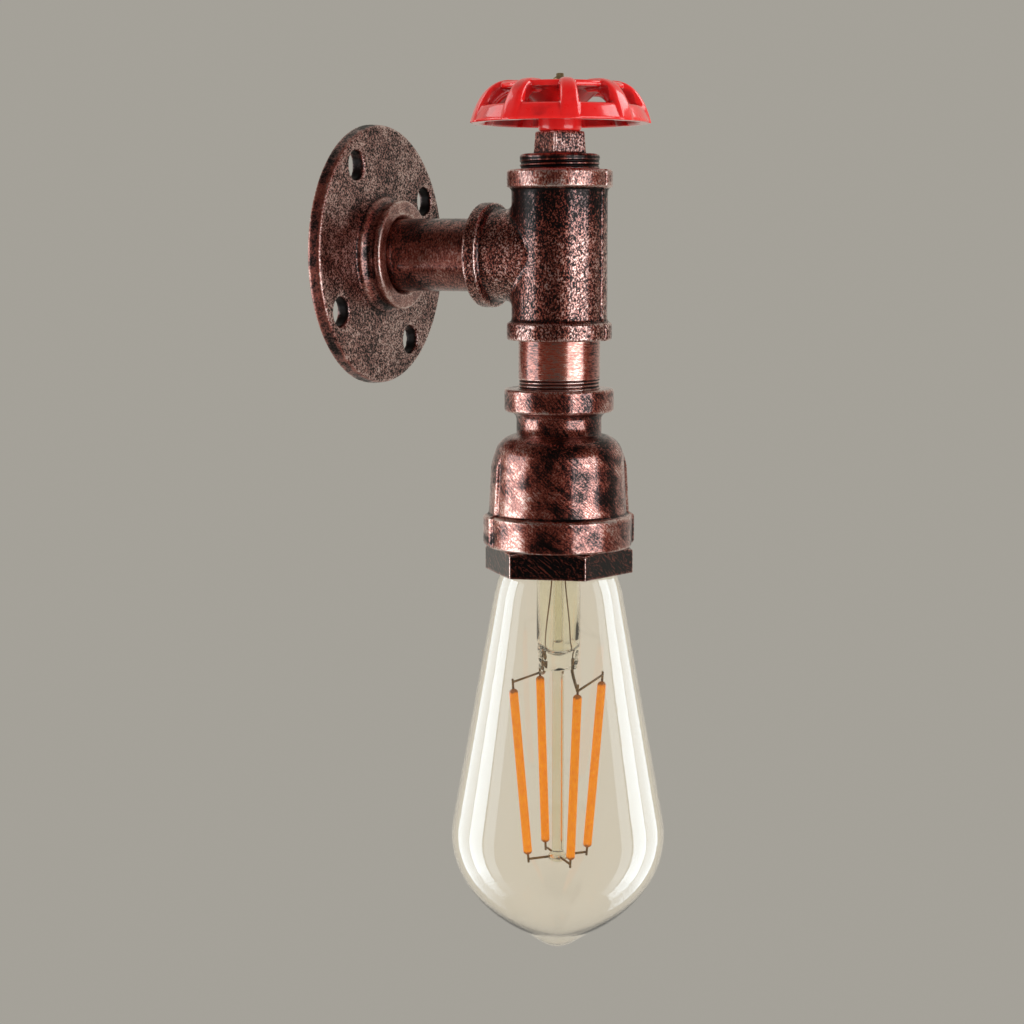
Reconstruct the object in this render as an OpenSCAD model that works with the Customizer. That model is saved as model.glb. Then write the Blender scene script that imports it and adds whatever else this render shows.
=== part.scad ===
// Pipe wall light: a round wall flange, a short pipe arm, a tee with a valve handwheel on its
// plug, and a bell reducer below that holds a screw-in lamp with straight filaments.
// Millimetres, +Z up. The wall is the plane y = 0, the light stands out towards -Y, and the
// origin is the middle of the flange's back face. The arm runs along Y at z = 0.

/* [Wall flange] */
// Diameter of the plate at the wall
flange_d = 78; // [72:0.5:90]
// Thickness of the plate
flange_t = 4; // [3:0.1:6]
// How much smaller the plate's front edge is, per side
flange_draft = 0.4; // [0:0.1:1]
// Metal round the arm in the boss
boss_wall = 5.4; // [4:0.1:7]
// Height of the boss above the plate
boss_h = 7; // [5:0.1:12]
// How far the boss's foot ring stands out past its front bead
boss_foot = 1; // [0.4:0.1:2]
// Circle through the screw holes
bolt_pcd = 62; // [58:0.5:64]
// Diameter of a screw hole
bolt_hole_d = 8.5; // [5:0.1:9]
// Number of screw holes
bolt_count = 4; // [3:1:5]
// Turn of the hole pattern from level
bolt_turn = 32; // [0:1:89]

/* [Arm] */
// Wall to the axis of the upright stack
arm_reach = 62; // [60:0.5:90]
// Outside diameter of the arm's pipe
arm_od = 21.6; // [20:0.1:23]
// Wall of the arm's pipe
arm_wall = 2.4; // [1.8:0.1:2.8]
// How far the pipe's end stays back from the wall
arm_inset = 2; // [0.5:0.1:3]

/* [Tee] */
// Middle to either end of the upright run
tee_half = 24.6; // [23:0.1:32]
// Axis of the run to the end of the branch
tee_branch = 24.6; // [23:0.1:32]
// Wall of the run round its sockets
tee_wall = 1.9; // [1.5:0.1:3]
// Wall of the branch round its socket
branch_wall = 2.6; // [1.8:0.1:3]
// How far the end bands stand proud of the run
band_proud = 1.4; // [0.8:0.1:2]
// Height of the bands on the run
band_w = 5.1; // [4:0.1:7]
// Width of the band on the branch
branch_band_w = 4.2; // [3:0.1:6]
// Depth of the pipe sockets
tee_socket = 10; // [8:0.1:10.5]
// Fillet in the crotch between run and branch
crotch_fillet = 2.6; // [2:0.1:5]

/* [Top plug] */
// Diameter of the plug's thread
plug_thread_d = 23.3; // [21:0.1:24]
// Height of thread that stays in sight
plug_neck = 4.5; // [2:0.1:6]
// Side of the square head at its foot
plug_side = 11.4; // [10:0.1:14]
// How much narrower the head is at its top
plug_draft = 0.9; // [0:0.1:2]
// Height of the square head
plug_head_h = 6.5; // [5:0.1:12]
// Turn of the square about the stack
plug_turn = 13.7; // [0:0.1:89]

/* [Handwheel] */
// Diameter at the rim's lower edge
wheel_d = 53; // [48:0.2:66]
// Height from the rim's lower edge to the top of the ribs
wheel_h = 12.2; // [11:0.1:16]
// Height of the closed band at the rim
rim_h = 4.9; // [3.5:0.1:6]
// How much the rim leans in from its lower edge to its upper edge
rim_lean = 2.3; // [0:0.1:3]
// Thickness of the rim and ribs, and depth of the dish in the crown
wheel_wall = 3.2; // [2.5:0.1:4]
// How far the ribs stand proud of rim and crown
rib_proud = 0.8; // [0.3:0.1:1.5]
// Width of a rib at the rim
rib_w = 6.2; // [4:0.1:8]
// Width of a rib at the crown
rib_top_w = 3.8; // [2.5:0.1:5]
// Number of ribs
rib_count = 9; // [5:1:10]
// Turn of the ribs about the stack
rib_turn = 10.6; // [0:0.1:39]
// Diameter of the crown plate that the ribs meet
crown_d = 36.5; // [33:0.5:40]
// Thickness of the crown plate at its edge
crown_t = 1.8; // [1.2:0.1:3]
// Diameter of the hub
hub_d = 12.6; // [12:0.1:18]
// How far the hub reaches below the rim
hub_drop = 2.1; // [1:0.1:4]

/* [Handwheel screw] */
// Diameter of the headless screw that stands in the plug
screw_d = 4; // [3:0.1:5]
// Length of the screw in the plug
screw_grip = 6; // [4:0.1:8]
// How far the screw's tip stands over its nut
screw_tip = 2.4; // [0.5:0.1:3]
// Width of the nut across its flats
nut_af = 7; // [6:0.1:8]
// Height of the nut
nut_h = 3.2; // [2:0.1:4]
// Diameter of the washer
washer_d = 9.6; // [8.6:0.1:11]
// Thickness of the washer
washer_t = 0.9; // [0.5:0.1:1.5]

/* [Drop pipe] */
// Outside diameter of the upright pipe
drop_od = 24; // [23:0.1:25]
// Wall of the upright pipe
drop_wall = 2.6; // [2:0.1:2.8]
// Length in sight between tee and bell
drop_len = 14.1; // [8:0.1:30]

/* [Bell reducer] */
// Metal round the pipe in the collar
collar_wall = 4; // [3:0.1:5]
// Height of the collar
collar_h = 7.1; // [6:0.1:12]
// Metal round the throat below the collar
neck_wall = 3.1; // [2.8:0.1:4.5]
// Height of the neck
neck_h = 6.5; // [5:0.1:10]
// Height of the rounded shoulder
dome_h = 7.2; // [5:0.1:10]
// Metal round the lampholder at the shoulder
bell_wall = 2.5; // [2:0.1:4]
// How much the bell widens from shoulder to mouth, per side
bell_flare = 0.8; // [0.5:0.1:3]
// Height of the flared part
bell_h = 16.5; // [15:0.1:22]
// How far the mouth band stands proud of the bell
mouth_proud = 1.65; // [0.6:0.05:2.5]
// Height of the mouth band
mouth_h = 9.3; // [8:0.1:14]
// Width of the two casting ribs
side_rib_w = 8.8; // [5:0.1:12]
// How far the casting ribs stand proud of the bell and its band
side_rib_proud = 0.8; // [0.3:0.1:1.2]
// Turn of the casting ribs about the stack
side_rib_turn = 128; // [0:1:179]

/* [Hex bush] */
// Height of the hexagon
hex_h = 7.6; // [5:0.1:12]
// Metal between the bore and a flat
hex_wall = 1.8; // [1.4:0.1:4]
// Wall of the threaded spigot
bush_wall = 1.9; // [1.4:0.1:2.1]
// Length of the threaded spigot
spigot_h = 5; // [4:0.1:5.5]
// Turn of the hexagon's flats about the stack
hex_turn = 14.3; // [0:0.1:59]

/* [Lampholder] */
// Wall of the ceramic body
holder_wall = 2.2; // [1.8:0.1:2.6]
// Thickness of the ceramic floor
holder_floor = 3; // [2.5:0.1:3.4]
// Thickness of the brass screw shell
shell_t = 0.5; // [0.4:0.1:0.7]
// Thickness of the clamped flange
holder_flange_t = 2; // [1.5:0.1:2.5]
// Thickness of the contact tongue
tongue_t = 0.5; // [0.3:0.1:0.6]

/* [Wiring] */
// Outside diameter of a lead
lead_d = 2.2; // [1.8:0.1:2.6]
// Diameter of a lead's bare core
core_d = 1.2; // [0.8:0.1:1.4]
// Distance of each lead from the middle
lead_offset = 3.5; // [3:0.1:4]
// Radius of the leads' bend in the tee
lead_bend = 8; // [5:0.1:9]
// Length of the connector block in the arm
block_len = 17; // [12:0.5:20]
// Width of the connector block
block_w = 12.4; // [11.6:0.1:13]
// Height of the connector block
block_h = 8.6; // [8:0.1:9]

/* [Lamp] */
// Largest diameter of the glass
lamp_d = 64; // [58:0.5:68]
// Rim of the cap to the tip of the glass
glass_len = 120; // [110:0.5:135]
// Wall of the glass
glass_t = 1; // [0.8:0.1:1.4]
// Diameter of the glass neck in the cap
neck_d = 26; // [25.4:0.1:26.2]
// Outside diameter of the cap's thread
cap_thread_d = 26.2; // [25.8:0.1:26.6]
// Rim of the cap to the end of its contact
cap_len = 26; // [25:0.1:27]
// Thickness of the cap's metal
cap_t = 0.4; // [0.3:0.1:0.5]
// How far the cap's rim stays inside the bush
cap_inset = 4.6; // [2:0.1:5]

/* [Filaments] */
// Diameter of a filament stick
filament_d = 2.6; // [1.6:0.1:3]
// Rim of the cap to the filaments' upper ends
filament_top = 39.3; // [38:0.1:44]
// Height of a filament stick
filament_h = 51.2; // [45:0.1:54]
// Distance of the upper ends from the axis
filament_top_r = 14.4; // [11:0.1:15]
// Distance of the lower ends from the axis
filament_foot_r = 9.7; // [7:0.1:13]
// Turn of the filaments about the stack
filament_turn = 47; // [0:1:89]

/* [Lamp stem] */
// Outside diameter of the glass stem
stem_d = 13; // [11:0.1:14]
// Wall of the glass stem
stem_t = 0.8; // [0.5:0.1:1.2]
// Rim of the cap to the stem's pinch
stem_len = 29; // [26:0.1:31]
// Height of the flattened pinch
pinch_h = 5.5; // [4:0.1:7]
// Thickness of the flattened pinch
pinch_t = 5; // [3.5:0.1:6]
// Diameter of the glass rod below the pinch
rod_d = 3.5; // [2.5:0.1:4]
// Diameter of the bead at the rod's foot
bead_d = 6; // [5:0.1:8]
// Height of the bead
bead_h = 3.2; // [2:0.1:4]
// Outside diameter of the exhaust tube
exhaust_d = 3.2; // [2.4:0.1:3.6]
// Bore of the exhaust tube
exhaust_way = 2; // [1.2:0.1:2.2]
// How far the exhaust tube runs up past the cap's rim
exhaust_rise = 12; // [8:0.1:13]
// Diameter of the lamp's wires
wire_d = 0.7; // [0.5:0.05:1]
// Length of the wire pins over the filaments
pin_len = 3; // [2:0.1:4]

/* [Lamp driver] */
// Rim of the cap to the driver board
board_lift = 6; // [5:0.1:7]
// Thickness of the board
board_t = 1.2; // [0.8:0.1:1.6]
// Diameter of the capacitor
capacitor_d = 6.4; // [5:0.1:6.8]
// Height of the capacitor
capacitor_h = 9; // [6:0.1:10]
// Length of the driver chip
chip_len = 6; // [4:0.1:7]
// Height of the driver chip
chip_h = 3.4; // [2:0.1:4]

/* [Hidden] */
$fn = 96;

// Clearances
thread_gap = 0.1;       // between a screwed pipe and its socket
run_gap = 0.08;         // between the turning wheel and its screw
seat_gap = 0.2;         // between a piece and the seat it rests on
cap_gap = 0.25;         // between the lamp's cap and the screw shell
contact_gap = 0.3;      // between the lamp's contact and the tongue
over = 1;               // how far a cut runs past the face that it opens

// Small shared forms
edge = 0.4;             // broken edges on castings
fillet = 1.2;           // cast fillets where a band or collar meets its body
foot_h = 1.5;           // foot ring of the flange's boss
bead_w = 1.7;           // front bead of the flange's boss
boss_waist = 0.8;       // how far the boss draws in between foot ring and bead
boss_mouth = 1.2;       // countersink where the arm enters the boss
hole_edge = 0.6;        // countersink of the screw holes
plug_round = 1.2;       // rounded shoulder of the plug
collar_step = 0.6;      // metal left under the pipe in the collar
thread_seat = 2.15;     // metal left round the mouth's thread
terminal_room = 2.3;    // room over the ceramic for the terminals' feet
tongue_rise = 1;        // how far the tongue bows down from the floor
skirt_lift = 1;         // ceramic skirt above the bush
shell_lift = 0.5;       // brass shell above the skirt's end
ceramic_edge = 1.8;     // broken upper edge of the ceramic
nose_h = 3.2;           // height of the cap's black end
nose_draw = 4;          // how much narrower the cap's end is than its thread
shoulder_h = 2.8;       // height of the cap's tapered shoulder
cap_rim_h = 2.6;        // plain rim of the cap under its thread
cap_blend = 0.8;        // height over which rim and thread blend
contact_h = 1;          // height of the cap's contact
contact_r = 4.6;        // radius of the cap's contact
contact_stem_r = 1.6;   // radius of the contact's stem
rivet_d = core_d + 1;   // rivets of the terminals
terminal_h = 5;         // height of the terminal blocks
grub_d = 2;             // grub screws of the terminals
tab_w = 5;              // width of the tongue and of the shell's tab
bite = 4;               // bared length of a lead
tube_d = 3.6;           // brass tubes of the connector
clamp_d = 2.6;          // screws of the connector
clamp_at = [0.25, 0.75];// places of those screws along the block

// Radii
arm_r = arm_od/2;
arm_way = arm_r - arm_wall;
drop_r = drop_od/2;
drop_way = drop_r - drop_wall;
plug_r = plug_thread_d/2;
tee_r = drop_r + thread_gap + tee_wall;
band_r = tee_r + band_proud;
branch_r = arm_r + thread_gap + branch_wall;
boss_r = arm_r + thread_gap + boss_wall;
collar_r = drop_r + thread_gap + collar_wall;
neck_r = drop_way + neck_wall;
cap_r = cap_thread_d/2;
shell_in = cap_r + cap_gap;
shell_r = shell_in + shell_t;
holder_in = shell_r + seat_gap;
holder_r = holder_in + holder_wall;
cavity_r = holder_r + 2*seat_gap;
shoulder_r = cavity_r + bell_wall;
mouth_r = shoulder_r + bell_flare;
mouth_band_r = mouth_r + mouth_proud;
mouth_in = mouth_band_r - thread_seat;
spigot_r = mouth_in - thread_gap;
bush_in = spigot_r - bush_wall;
hex_af = 2*(bush_in + hex_wall);
nose_r = cap_r - nose_draw;
cap_in = cap_r - cap_t - seat_gap;
stem_r = stem_d/2;
rod_r = rod_d/2;
wire_r = wire_d/2;
rivet_x = lead_offset + rivet_d + 0.5;

// Heights down and up the stack
plug_top = tee_half + plug_neck;
hub_z = plug_top + plug_head_h;
rim_z = hub_z + hub_drop;
crown_z = rim_z + wheel_h - rib_proud;
washer_z = crown_z - wheel_wall;
nut_z = washer_z + washer_t;
screw_top = nut_z + nut_h + screw_tip;
collar_z = -tee_half - drop_len;
neck_z = collar_z - collar_h;
dome_z = neck_z - neck_h;
shoulder_z = dome_z - dome_h;
band_z = shoulder_z - bell_h;
mouth_z = band_z - mouth_h;
hex_z = mouth_z - hex_h;
cap_z = hex_z + cap_inset;
tip_z = cap_z + cap_len;
tongue_z = tip_z + contact_gap;
floor_z = tongue_z + tongue_t + tongue_rise;
holder_top = floor_z + holder_floor;
spigot_top = mouth_z + spigot_h;
holder_flange_top = spigot_top + holder_flange_t;
skirt_z = mouth_z + skirt_lift;
cavity_top = holder_top + terminal_room;
collar_socket = collar_h - collar_step;
pinch_z = cap_z - stem_len;
pinch_low = pinch_z - pinch_h;
bead_z = cap_z - filament_top - filament_h - bead_h/2;

// Places along the arm
lead_start = -arm_reach + tee_branch - tee_socket + 3;
block_y = lead_start + seat_gap;
block_low = -sqrt(pow(arm_way - seat_gap, 2) - pow(block_w/2, 2));

// Points of an arc about c, from angle a to angle b
function arc(c, r, a, b, n = 6) =
    [for (i = [0:n]) let (t = a + (b - a)*i/n) c + r*[cos(t), sin(t)]];

// Points of a cubic curve with its four control points
function curve(p, n = 12) = [for (i = [0:n]) let (t = i/n, s = 1 - t)
    s*s*s*p[0] + 3*s*s*t*p[1] + 3*s*t*t*p[2] + t*t*t*p[3]];

// A point at a distance and an angle from the stack, at height z
function spoke(r, a, z) = [r*cos(a), r*sin(a), z];

// Moves its children to the stack's axis
module on_stack() {
    translate([0, -arm_reach, 0]) children();
}

// Turns an upright revolve so that its axis runs from the wall towards the room
module from_wall() {
    rotate([90, 0, 0]) children();
}

// A round bar between two points
module bar(a, b, r) {
    d = b - a;
    translate(a) rotate([0, acos(d[2]/norm(d)), atan2(d[1], d[0])]) cylinder(r = r, h = norm(d));
}

// Wall flange: plate, boss with a foot ring and a front bead, and the screw holes
module wall_flange() {
    plate_r = flange_d/2;
    front_r = plate_r - flange_draft;
    foot_r = boss_r + boss_foot;
    waist_r = boss_r - boss_waist;
    foot_top = flange_t + foot_h;
    top = flange_t + boss_h;
    bore = arm_r + thread_gap;
    profile = [
        [0, 0], [plate_r, 0], [front_r, flange_t - edge], [front_r - edge, flange_t],
        [foot_r + edge, flange_t], [foot_r, flange_t + edge], [foot_r, foot_top - edge],
        [foot_r - edge, foot_top], [waist_r, foot_top + fillet], [waist_r, top - bead_w - fillet/2],
        [boss_r, top - bead_w], [boss_r, top - edge], [boss_r - edge, top], [0, top]];
    color("sienna") from_wall() difference() {
        rotate_extrude() polygon(profile);
        translate([0, 0, -over]) cylinder(r = bore, h = top + 2*over);
        translate([0, 0, top - boss_mouth]) cylinder(r1 = bore, r2 = bore + 2*boss_mouth, h = 2*boss_mouth);
        for (i = [0:bolt_count - 1]) translate(spoke(bolt_pcd/2, bolt_turn + i*360/bolt_count, 0)) {
            translate([0, 0, -over]) cylinder(d = bolt_hole_d, h = flange_t + 2*over);
            translate([0, 0, flange_t - hole_edge])
                cylinder(r1 = bolt_hole_d/2, r2 = bolt_hole_d/2 + 2*hole_edge, h = 2*hole_edge);
        }
    }
}

// A straight pipe with broken ends, from low to high
module pipe(r, way, low, high) {
    difference() {
        rotate_extrude() polygon(
            [[0, low], [r - edge, low], [r, low + edge], [r, high - edge], [r - edge, high], [0, high]]);
        translate([0, 0, low - over]) cylinder(r = way, h = high - low + 2*over);
    }
}

// Pipe of the arm, from the flange into the branch of the tee
module arm_pipe() {
    end = arm_reach - tee_branch + tee_socket - seat_gap;
    color("peru") from_wall() pipe(arm_r, arm_way, arm_inset, end);
}

// Outline of a banded end of the tee, from its body out to its end
function banded_end(body_r, length, width) = concat(
    arc([body_r + fillet, length - width - fillet], fillet, 180, 115),
    [[band_r - edge, length - width], [band_r, length - width + edge], [band_r, length - edge],
    [band_r - edge, length]]);

// Cast fillet in the corner between the run and the branch, on the upper side
module crotch() {
    sink = 0.6;         // how deep it reaches into run and branch
    dip = 0.12;         // keeps its curve off their surfaces
    least = 0.8;        // size of the fillet at its two ends
    n = 12;
    m = 6;
    c = m + 4;
    reach = 0.96*min(tee_r, branch_r);
    sections = [for (i = [0:n]) let (
        x = -reach + 2*reach*i/n,
        y = sqrt(tee_r*tee_r - x*x),
        z = sqrt(branch_r*branch_r - x*x),
        f = least + (crotch_fillet - least)*sqrt(max(0, 1 - pow(x/reach, 2))),
        g = f - dip)
        concat(
            [[x, y - sink, z - sink], [x, y - sink, z + g]],
            [for (k = [0:m]) let (a = 180 + 90*k/m) [x, y + g + f*cos(a), z + g + f*sin(a)]],
            [[x, y + g, z - sink]])];
    polyhedron(
        points = [for (s = sections) for (q = s) q],
        faces = concat(
            [for (k = [1:c - 2]) [0, k + 1, k]],
            [for (i = [0:n - 1]) for (k = [0:c - 1]) let (q = (k + 1) % c)
                [i*c + k, (i + 1)*c + q, (i + 1)*c + k]],
            [for (i = [0:n - 1]) for (k = [0:c - 1]) let (q = (k + 1) % c)
                [i*c + k, i*c + q, (i + 1)*c + q]],
            [for (k = [1:c - 2]) [n*c, n*c + k, n*c + k + 1]]));
}

// Tee with banded ends, its branch towards the wall
module tee_fitting() {
    upper = banded_end(tee_r, tee_half, band_w);
    lower = [for (i = [len(upper) - 1:-1:0]) [upper[i][0], -upper[i][1]]];
    run = concat([[0, -tee_half]], lower, upper, [[0, tee_half]]);
    branch = concat(
        [[0, 0], [branch_r, 0]], banded_end(branch_r, tee_branch, branch_band_w), [[0, tee_branch]]);
    color("saddlebrown") on_stack() difference() {
        union() {
            rotate_extrude() polygon(run);
            rotate([-90, 0, 0]) rotate_extrude() polygon(branch);
            crotch();
            mirror([0, 0, 1]) crotch();
        }
        translate([0, 0, -tee_half - over]) cylinder(r = drop_way, h = 2*tee_half + 2*over);
        translate([0, 0, -tee_half - over]) cylinder(r = drop_r + thread_gap, h = tee_socket + over);
        translate([0, 0, tee_half - tee_socket]) cylinder(r = plug_r + thread_gap, h = tee_socket + over);
        rotate([-90, 0, 0]) {
            cylinder(r = arm_way, h = tee_branch + over);
            translate([0, 0, tee_branch - tee_socket])
                cylinder(r = arm_r + thread_gap, h = tee_socket + over);
        }
    }
}

// Plug screwed into the top of the tee, with a tapered square head
module top_plug() {
    low = tee_half - tee_socket + seat_gap;
    corner = sqrt(2)/2;
    foot_r = plug_side*corner;
    color("saddlebrown") on_stack() difference() {
        union() {
            rotate_extrude() polygon(concat(
                [[0, low], [plug_r - edge, low], [plug_r, low + edge]],
                arc([plug_r - plug_round, plug_top - plug_round], plug_round, 0, 90),
                [[0, plug_top]]));
            translate([0, 0, plug_top - plug_round]) rotate([0, 0, plug_turn])
                cylinder(r1 = foot_r, r2 = foot_r - plug_draft*corner, h = plug_head_h + plug_round, $fn = 4);
        }
        translate([0, 0, hub_z - screw_grip - seat_gap])
            cylinder(d = screw_d + 2*thread_gap, h = screw_grip + over);
    }
}

// Side view of a handwheel rib: it leans in from the rim's foot and arches over to the crown
function rib_outline() = let (
    out = wheel_d/2,
    thick = wheel_wall + rib_proud,
    flat = crown_d/2 - 2.5,
    lean = 1.4,
    turn = 4.4,
    within = out - thick,
    under = wheel_h - thick,
    outer = curve([[out, 0], [out - lean, 0.45*wheel_h], [out - turn, 0.97*wheel_h], [flat, wheel_h]]),
    inner = curve([[within, 0], [within - lean, 0.45*under], [within - turn, 0.97*under], [flat - 1, under]]))
    concat(outer, [[flat - 4, wheel_h], [flat - 4, under]], [for (i = [len(inner) - 1:-1:0]) inner[i]]);

// One rib in plan, narrower towards the crown
module rib_plan() {
    near = crown_d/2 - wheel_wall;
    far = wheel_d/2;
    polygon([[0, -rib_top_w/2], [near, -rib_top_w/2], [far, -rib_w/2],
        [far, rib_w/2], [near, rib_top_w/2], [0, rib_top_w/2]]);
}

// Handwheel: leaning rim band, arched ribs with open windows between them, dished crown and hub
module handwheel() {
    foot_r = wheel_d/2 - edge/2;
    head_r = foot_r - rim_lean;
    crown = crown_d/2;
    web = wheel_h - rib_proud;
    dish = washer_d/2 + 0.6;
    hub_r = hub_d/2;
    rim = [
        [foot_r - wheel_wall, 0], [foot_r - edge, 0], [foot_r, edge], [head_r, rim_h - edge],
        [head_r - edge, rim_h], [head_r - wheel_wall + edge, rim_h], [head_r - wheel_wall, rim_h - edge]];
    plate = [
        [0, web - 2*wheel_wall], [hub_r, web - 2*wheel_wall], [crown - 2*wheel_wall, web - crown_t],
        [crown - edge, web - crown_t], [crown, web - crown_t + edge], [crown, web - edge],
        [crown - edge, web], [0, web]];
    hub = [[0, -hub_drop], [hub_r - edge, -hub_drop], [hub_r, -hub_drop + edge], [hub_r, web - wheel_wall],
        [0, web - wheel_wall]];
    color("crimson") on_stack() translate([0, 0, rim_z]) difference() {
        union() {
            rotate_extrude() polygon(rim);
            rotate_extrude() polygon(plate);
            rotate_extrude() polygon(hub);
            for (i = [0:rib_count - 1]) rotate([0, 0, rib_turn + i*360/rib_count]) intersection() {
                rotate([90, 0, 0]) linear_extrude(rib_w, center = true) polygon(rib_outline());
                linear_extrude(wheel_h + over) rib_plan();
            }
        }
        translate([0, 0, -hub_drop - over])
            cylinder(d = screw_d + 2*run_gap, h = wheel_h + hub_drop + 2*over);
        translate([0, 0, web - wheel_wall])
            cylinder(r1 = dish, r2 = dish + wheel_wall, h = wheel_wall + over);
    }
}

// Washer under the nut
module handwheel_washer() {
    color("dimgray") on_stack() translate([0, 0, washer_z]) difference() {
        cylinder(d = washer_d, h = washer_t);
        translate([0, 0, -over]) cylinder(d = screw_d + 2*run_gap, h = washer_t + 2*over);
    }
}

// Hexagon nut that keeps the wheel on its screw
module handwheel_nut() {
    corner = nut_af/2/cos(30);
    color("dimgray") on_stack() translate([0, 0, nut_z]) difference() {
        intersection() {
            cylinder(r = corner, h = nut_h, $fn = 6);
            cylinder(r1 = corner + nut_h, r2 = nut_af/2, h = nut_h);
        }
        translate([0, 0, -over]) cylinder(d = screw_d + 2*thread_gap, h = nut_h + 2*over);
    }
}

// Headless screw that stands in the plug and carries the wheel, its tip over the nut
module handwheel_screw() {
    r = screw_d/2;
    low = hub_z - screw_grip;
    color("dimgray") on_stack() rotate_extrude() polygon(
        [[0, low], [r - edge, low], [r, low + edge], [r, screw_top - 2*edge], [r - 2*edge, screw_top],
        [0, screw_top]]);
}

// Upright pipe between the tee and the bell
module drop_pipe() {
    color("peru") on_stack()
        pipe(drop_r, drop_way, collar_z - collar_socket + seat_gap, -tee_half + tee_socket - seat_gap);
}

// Side view of a casting rib: up the bell's side and over its mouth band
function side_rib_outline() = let (
    root = cavity_r + 0.6,
    rib_top = shoulder_z + 2 - fillet,
    band_face = mouth_band_r + side_rib_proud)
    [[root, rib_top], [shoulder_r - edge, rib_top], [shoulder_r + side_rib_proud, shoulder_z - fillet],
    [mouth_r + side_rib_proud, band_z + fillet], [band_face, band_z], [band_face, mouth_z + edge],
    [root, mouth_z + edge]];

// Bell reducer: collar, neck, rounded shoulder, bell and mouth band, with two casting ribs
module bell_reducer() {
    profile = concat(
        [[0, collar_z], [collar_r - edge, collar_z], [collar_r, collar_z - edge]],
        [[collar_r, neck_z + 2*edge], [collar_r - 2*edge, neck_z]],
        arc([neck_r + fillet, neck_z - fillet], fillet, 90, 180),
        [for (i = [1:9]) [neck_r + (shoulder_r - neck_r)*sin(10*i), shoulder_z + dome_h*cos(10*i)]],
        [[mouth_r, band_z + fillet], [mouth_band_r - edge, band_z], [mouth_band_r, band_z - edge]],
        [[mouth_band_r, mouth_z + edge], [mouth_band_r - edge, mouth_z], [0, mouth_z]]);
    cavity = [
        [0, holder_flange_top], [cavity_r, holder_flange_top], [cavity_r, holder_top - ceramic_edge],
        [cavity_r - terminal_room - seat_gap, cavity_top], [0, cavity_top]];
    color("sienna") on_stack() difference() {
        union() {
            rotate_extrude() polygon(profile);
            for (s = [0, 180]) rotate([0, 0, side_rib_turn + s]) rotate([90, 0, 0])
                linear_extrude(side_rib_w, center = true) polygon(side_rib_outline());
        }
        translate([0, 0, collar_z - collar_socket])
            cylinder(r = drop_r + thread_gap, h = collar_socket + over);
        translate([0, 0, cavity_top - over]) cylinder(r = drop_way, h = collar_z - cavity_top + over);
        rotate_extrude() polygon(cavity);
        translate([0, 0, mouth_z - over]) cylinder(r = mouth_in, h = holder_flange_top - mouth_z + over);
    }
}

// Hexagon bush that screws into the mouth and clamps the lampholder
module hex_bush() {
    corner = hex_af/2/cos(30);
    chamfer = 0.9;
    color("#2b1a18") on_stack() difference() {
        union() {
            intersection() {
                translate([0, 0, hex_z]) rotate([0, 0, hex_turn + 30])
                    cylinder(r = corner, h = hex_h, $fn = 6);
                rotate_extrude() polygon([[0, hex_z], [corner - edge, hex_z], [corner, hex_z + edge],
                    [corner, mouth_z - chamfer], [corner - 2*chamfer, mouth_z], [0, mouth_z]]);
            }
            translate([0, 0, mouth_z]) cylinder(r = spigot_r, h = spigot_h);
        }
        translate([0, 0, hex_z - over]) cylinder(r = bush_in, h = hex_h + spigot_h + 2*over);
    }
}

// Ceramic body of the lampholder, clamped by its flange
module lampholder_body() {
    flange_r = mouth_in - 2*thread_gap;
    skirt_r = bush_in - seat_gap;
    profile = [
        [0, floor_z], [holder_in, floor_z], [holder_in, skirt_z], [skirt_r, skirt_z], [skirt_r, spigot_top],
        [flange_r, spigot_top], [flange_r, holder_flange_top], [holder_r, holder_flange_top],
        [holder_r, holder_top - ceramic_edge], [holder_r - ceramic_edge, holder_top], [0, holder_top]];
    color("ivory") on_stack() difference() {
        rotate_extrude() polygon(profile);
        for (s = [-1, 1]) translate([s*rivet_x, 0, floor_z - over])
            cylinder(d = rivet_d + 2*thread_gap, h = holder_floor + 2*over);
    }
}

// Brass screw shell, with a tab that the neutral terminal is riveted to
module lampholder_shell() {
    low = skirt_z + shell_lift;
    lip_in = shell_in - 3.5;
    lap = 0.5;
    profile = [
        [shell_in, low], [shell_r, low], [shell_r, floor_z], [lip_in, floor_z], [lip_in, floor_z - shell_t],
        [shell_in, floor_z - shell_t]];
    color("goldenrod") on_stack() difference() {
        union() {
            rotate_extrude() polygon(profile);
            translate([-lip_in - lap, -tab_w/2, floor_z - shell_t])
                cube([lip_in + lap - rivet_x + tab_w/2, tab_w, shell_t]);
        }
        translate([-rivet_x, 0, floor_z - 2*shell_t]) cylinder(d = rivet_d + 2*thread_gap, h = 3*shell_t);
    }
}

// Sprung tongue that meets the lamp's contact
module contact_tongue() {
    tail = rivet_x + 2;
    bend = rivet_x - 1.6;
    t = tongue_t;
    drop = tongue_rise;
    outline = [
        [tail, 0], [tail, -t], [bend, -t], [2, -t - drop], [-2, -t - drop], [-2.6, -t - drop + 0.5],
        [-2.2, -drop + 0.4], [-1.9, -drop], [2.2, -drop], [bend, 0]];
    color("goldenrod") on_stack() translate([0, 0, floor_z]) difference() {
        rotate([90, 0, 0]) linear_extrude(tab_w, center = true) polygon(outline);
        translate([rivet_x, 0, -over]) cylinder(d = rivet_d + 2*thread_gap, h = 2*over);
    }
}

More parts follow.
